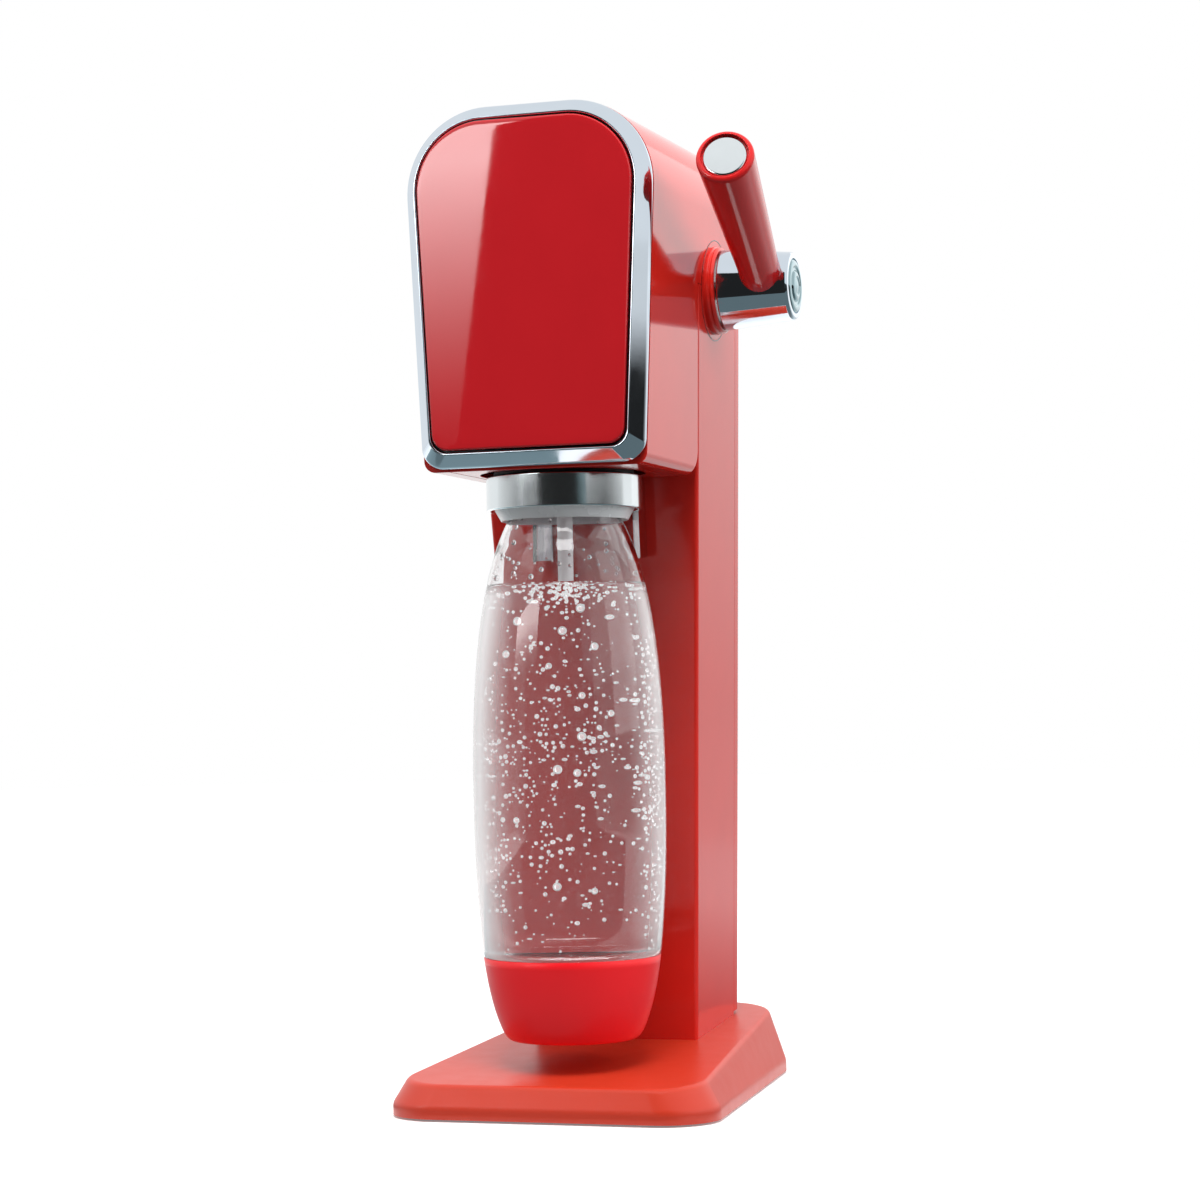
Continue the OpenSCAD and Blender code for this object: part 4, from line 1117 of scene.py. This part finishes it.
def paint_frame():
    """Every CAD node takes the material of its record slot."""
    for part in frame["record"]["subparts"]:
        obj = frame["nodes"][part["node"]]
        if not obj.material_slots:
            obj.data.materials.append(None)
        for slot in obj.material_slots:
            slot.material = MATERIALS[part["material_slot"]]


# ---- stage ----

SEEN_BY = ("camera", "diffuse", "glossy", "transmission", "volume_scatter", "shadow")


def seen_only_by(obj, *rays):
    """Hides an object from every other kind of ray."""
    for kind in SEEN_BY:
        setattr(obj, "visible_" + kind, kind in rays)


def card(name, points, material, *rays):
    """A flat sheet that only some rays see, as softboxes and black flags are set for gloss and shade."""
    bm = bmesh.new()
    bm.faces.new([bm.verts.new(Vector(p) * MM) for p in points])
    obj = make(name, bm, recalc=False)
    obj.modifiers.clear()
    obj.data.materials.append(material)
    seen_only_by(obj, *rays)


def disc(name, z, material, *rays):
    """A round sheet about the object."""
    card(name, [(FLOOR_R * cos(a), FLOOR_R * sin(a), z) for a in range(0, 360, 6)], material, *rays)


def outward_distance(tree):
    """How far a point is from the origin."""
    place = tree.nodes.new("ShaderNodeTexCoord")
    far = node(tree, "ShaderNodeVectorMath", set_operation="LENGTH")
    tree.links.new(place.outputs["Object"], far.inputs[0])
    return far.outputs["Value"]


def glow(name, *ramps, power=1.0, colour=(1, 1, 1)):
    """Light that is the sum of ramps. A ramp is (axis, start, end, value at start, value at end)."""
    mat, tree, shader = new_material(name)
    tree.nodes.remove(shader)
    total = None
    for axis, start, end, first, last in ramps:
        source = outward_distance(tree) if axis == "R" else along(tree, axis)
        curve = node(tree, "ShaderNodeMath", set_operation="POWER")
        tree.links.new(ranged(tree, source, 0, 1, start * MM, end * MM), curve.inputs[0])
        curve.inputs[1].default_value = power
        value = ranged(tree, curve.outputs["Value"], first, last, 0, 1)
        if total:
            both = node(tree, "ShaderNodeMath", set_operation="ADD")
            tree.links.new(total, both.inputs[0])
            tree.links.new(value, both.inputs[1])
            value = both.outputs["Value"]
        total = value
    light = node(tree, "ShaderNodeEmission", Color=(*colour, 1))
    tree.links.new(total, light.inputs["Strength"])
    tree.links.new(light.outputs["Emission"], tree.nodes["Material Output"].inputs["Surface"])
    return mat


FLOOR_R = 6000
FRONT = -1300  # the plane of the cards before the object
LEFT = -900
SIDE = 1500  # how far the cards reach to either side, and behind
TOP = 1500
NEAR_Y = -108  # just before the base
EDGE_FOOT_X, EDGE_TOP_X = -534, -318  # the leaning edge that the front panel reflects
DARK = 0.02
DIM = 0.55
SHADE = 0.2
TEAL = (0.75, 1.0, 1.06)
PALE_TEAL = (0.9, 1, 1.02)
PINK = (1, 0.84, 0.85)


def upright(name, x0, x1, y, material, *rays, slant=0, top=TOP):
    """A card facing the object from the front or back. slant leans its first edge over the height TOP."""
    edge = x0 + slant * top / TOP
    card(name, [(x0, y, 0), (edge, y, top), (x1, y, top), (x1, y, 0)], material, *rays)


def flat(name, x0, x1, y0, y1, material, *rays, z=2):
    """A card just above the floor."""
    card(name, [(x0, y0, z), (x1, y0, z), (x1, y1, z), (x0, y1, z)], material, *rays)


def wall(name, x, y0, y1, z1, material, *rays):
    """A card facing the object from its left or right."""
    card(name, [(x, y0, 0), (x, y0, z1), (x, y1, z1), (x, y1, 0)], material, *rays)


def area_light(name, place, aim, size, energy):
    lamp = bpy.data.lights.new(name, "AREA")
    lamp.energy = energy
    lamp.size = size
    obj = bpy.data.objects.new(name, lamp)
    obj.location = place
    obj.rotation_euler = (Vector(aim) - obj.location).to_track_quat("-Z", "Y").to_euler()
    obj.visible_glossy = False
    bpy.context.scene.collection.objects.link(obj)


def floor():
    """A pale floor for the eye, and the softer light that it throws up."""
    mat, _, shader = new_material("pale_floor")
    shader.inputs["Roughness"].default_value = 0.9
    shader.inputs["Base Color"].default_value = (0.86, 0.86, 0.86, 1)
    shader.inputs["Specular IOR Level"].default_value = 0.0
    shader.inputs["Emission Color"].default_value = (1, 1, 1, 1)
    shader.inputs["Emission Strength"].default_value = 0.2
    disc("floor", 0, mat, "camera", "glossy", "transmission")
    disc("floor_bounce", -1, glow("bounce_glow", ("R", 180, 520, 0.6, 0.12)), "diffuse")


def white_world():
    world = bpy.data.worlds.new("studio")
    world.use_nodes = True
    world.node_tree.nodes["Background"].inputs["Color"].default_value = (1, 1, 1, 1)
    world.node_tree.nodes["Background"].inputs["Strength"].default_value = 1.0
    bpy.context.scene.world = world


def plain_glow(name, value, colour=(1, 1, 1)):
    return glow(name, ("Z", 0, 100, value, value), colour=colour)


def front_cards():
    """Before the object: what its front reflects, what is seen through the bottle, and a shade."""
    slant = EDGE_TOP_X - EDGE_FOOT_X
    black = plain_glow("black_flag", DARK)
    dim = plain_glow("dim_glow", DIM, PINK)
    softbox = glow("softbox_glow", ("Z", 380, 640, 0.15, 9.0), power=2.0)
    corner = glow("corner_glow", ("X", 950, 1350, DARK, 0.12), ("Z", 430, 500, 0, 0.75), colour=TEAL)
    upright("left_softbox", EDGE_FOOT_X, -SIDE, FRONT, softbox, "glossy", slant=slant, top=760)
    upright("front_flag", EDGE_FOOT_X, SIDE, FRONT - 1, black, "glossy", slant=slant)
    upright("corner_card", 950, SIDE, FRONT, corner, "glossy")
    upright("dim_front", LEFT, SIDE, FRONT - 2, dim, "transmission")
    upright("shade_flag", LEFT, SIDE, FRONT - 3, black, "diffuse")
    flat("far_floor", LEFT, SIDE, -640, FRONT + 1, black, "glossy")
    flat("dim_floor", LEFT, SIDE, NEAR_Y, FRONT, dim, "transmission")


def side_and_rear_cards():
    """What the chrome and the body's sides reflect from beside and behind the object."""
    rear = glow("rear_glow", ("Z", 150, 640, 0.75, 1.5))
    left = glow("left_glow", ("Y", -1300, 100, 0.1, 0.9))
    right = glow("right_glow", ("Y", -300, 600, DARK, 0.5), ("Z", 392, 440, 0, 0.85))
    upright("rear_softbox", 150, SIDE, SIDE, rear, "glossy")
    wall("left_flag", -SIDE, FRONT, 100, 430, left, "glossy")
    wall("right_flag", SIDE, FRONT, 600, 510, right, "glossy")


def floor_cards():
    """What the undersides and the chrome reflect from the floor."""
    shade = plain_glow("near_floor_glow", SHADE, TEAL)
    left = glow("left_floor_glow", ("Y", NEAR_Y, 300, 0.32, 0.9), colour=TEAL)
    rear = glow("rear_floor_glow", ("Y", 250, 900, 0.22, 0.9), colour=PALE_TEAL)
    flat("near_floor", LEFT, SIDE, NEAR_Y, -640, shade, "glossy")
    flat("left_floor", LEFT, -78, NEAR_Y, 300, left, "glossy")
    flat("right_floor", 80, SIDE, NEAR_Y, 200, shade, "glossy")
    flat("rear_floor", 62, SIDE, 200, SIDE, rear, "glossy")


def lamps():
    area_light("key", (0.30, -0.98, 1.90), (0, 0, 0.2), 0.8, 38)
    area_light("left_fill", (-0.9, -1.0, 1.5), (0, 0, 0.25), 1.1, 6)
    area_light("right_fill", (1.6, 0.1, 0.8), (0, 0, 0.25), 1.2, 8.5)


camera()
paint_frame()
for build in (base_shell, column_shell, rear_cover, latch_button, head_shell, head_underside, bezel_frame,
              panel_gasket, front_panel, hub_collar, collar_joint, lever_hub, hub_end_cap, lever_handle,
              handle_end_cap, bottle_ring, ring_collar, nozzle_tube, holder_bracket, bottle_body, water,
              bubbles, droplets, bottle_cup, valve_springs):
    build()
for build in (floor, white_world, front_cards, side_and_rear_cards, floor_cards, lamps):
    build()
bpy.context.scene.view_settings.view_transform = "Standard"
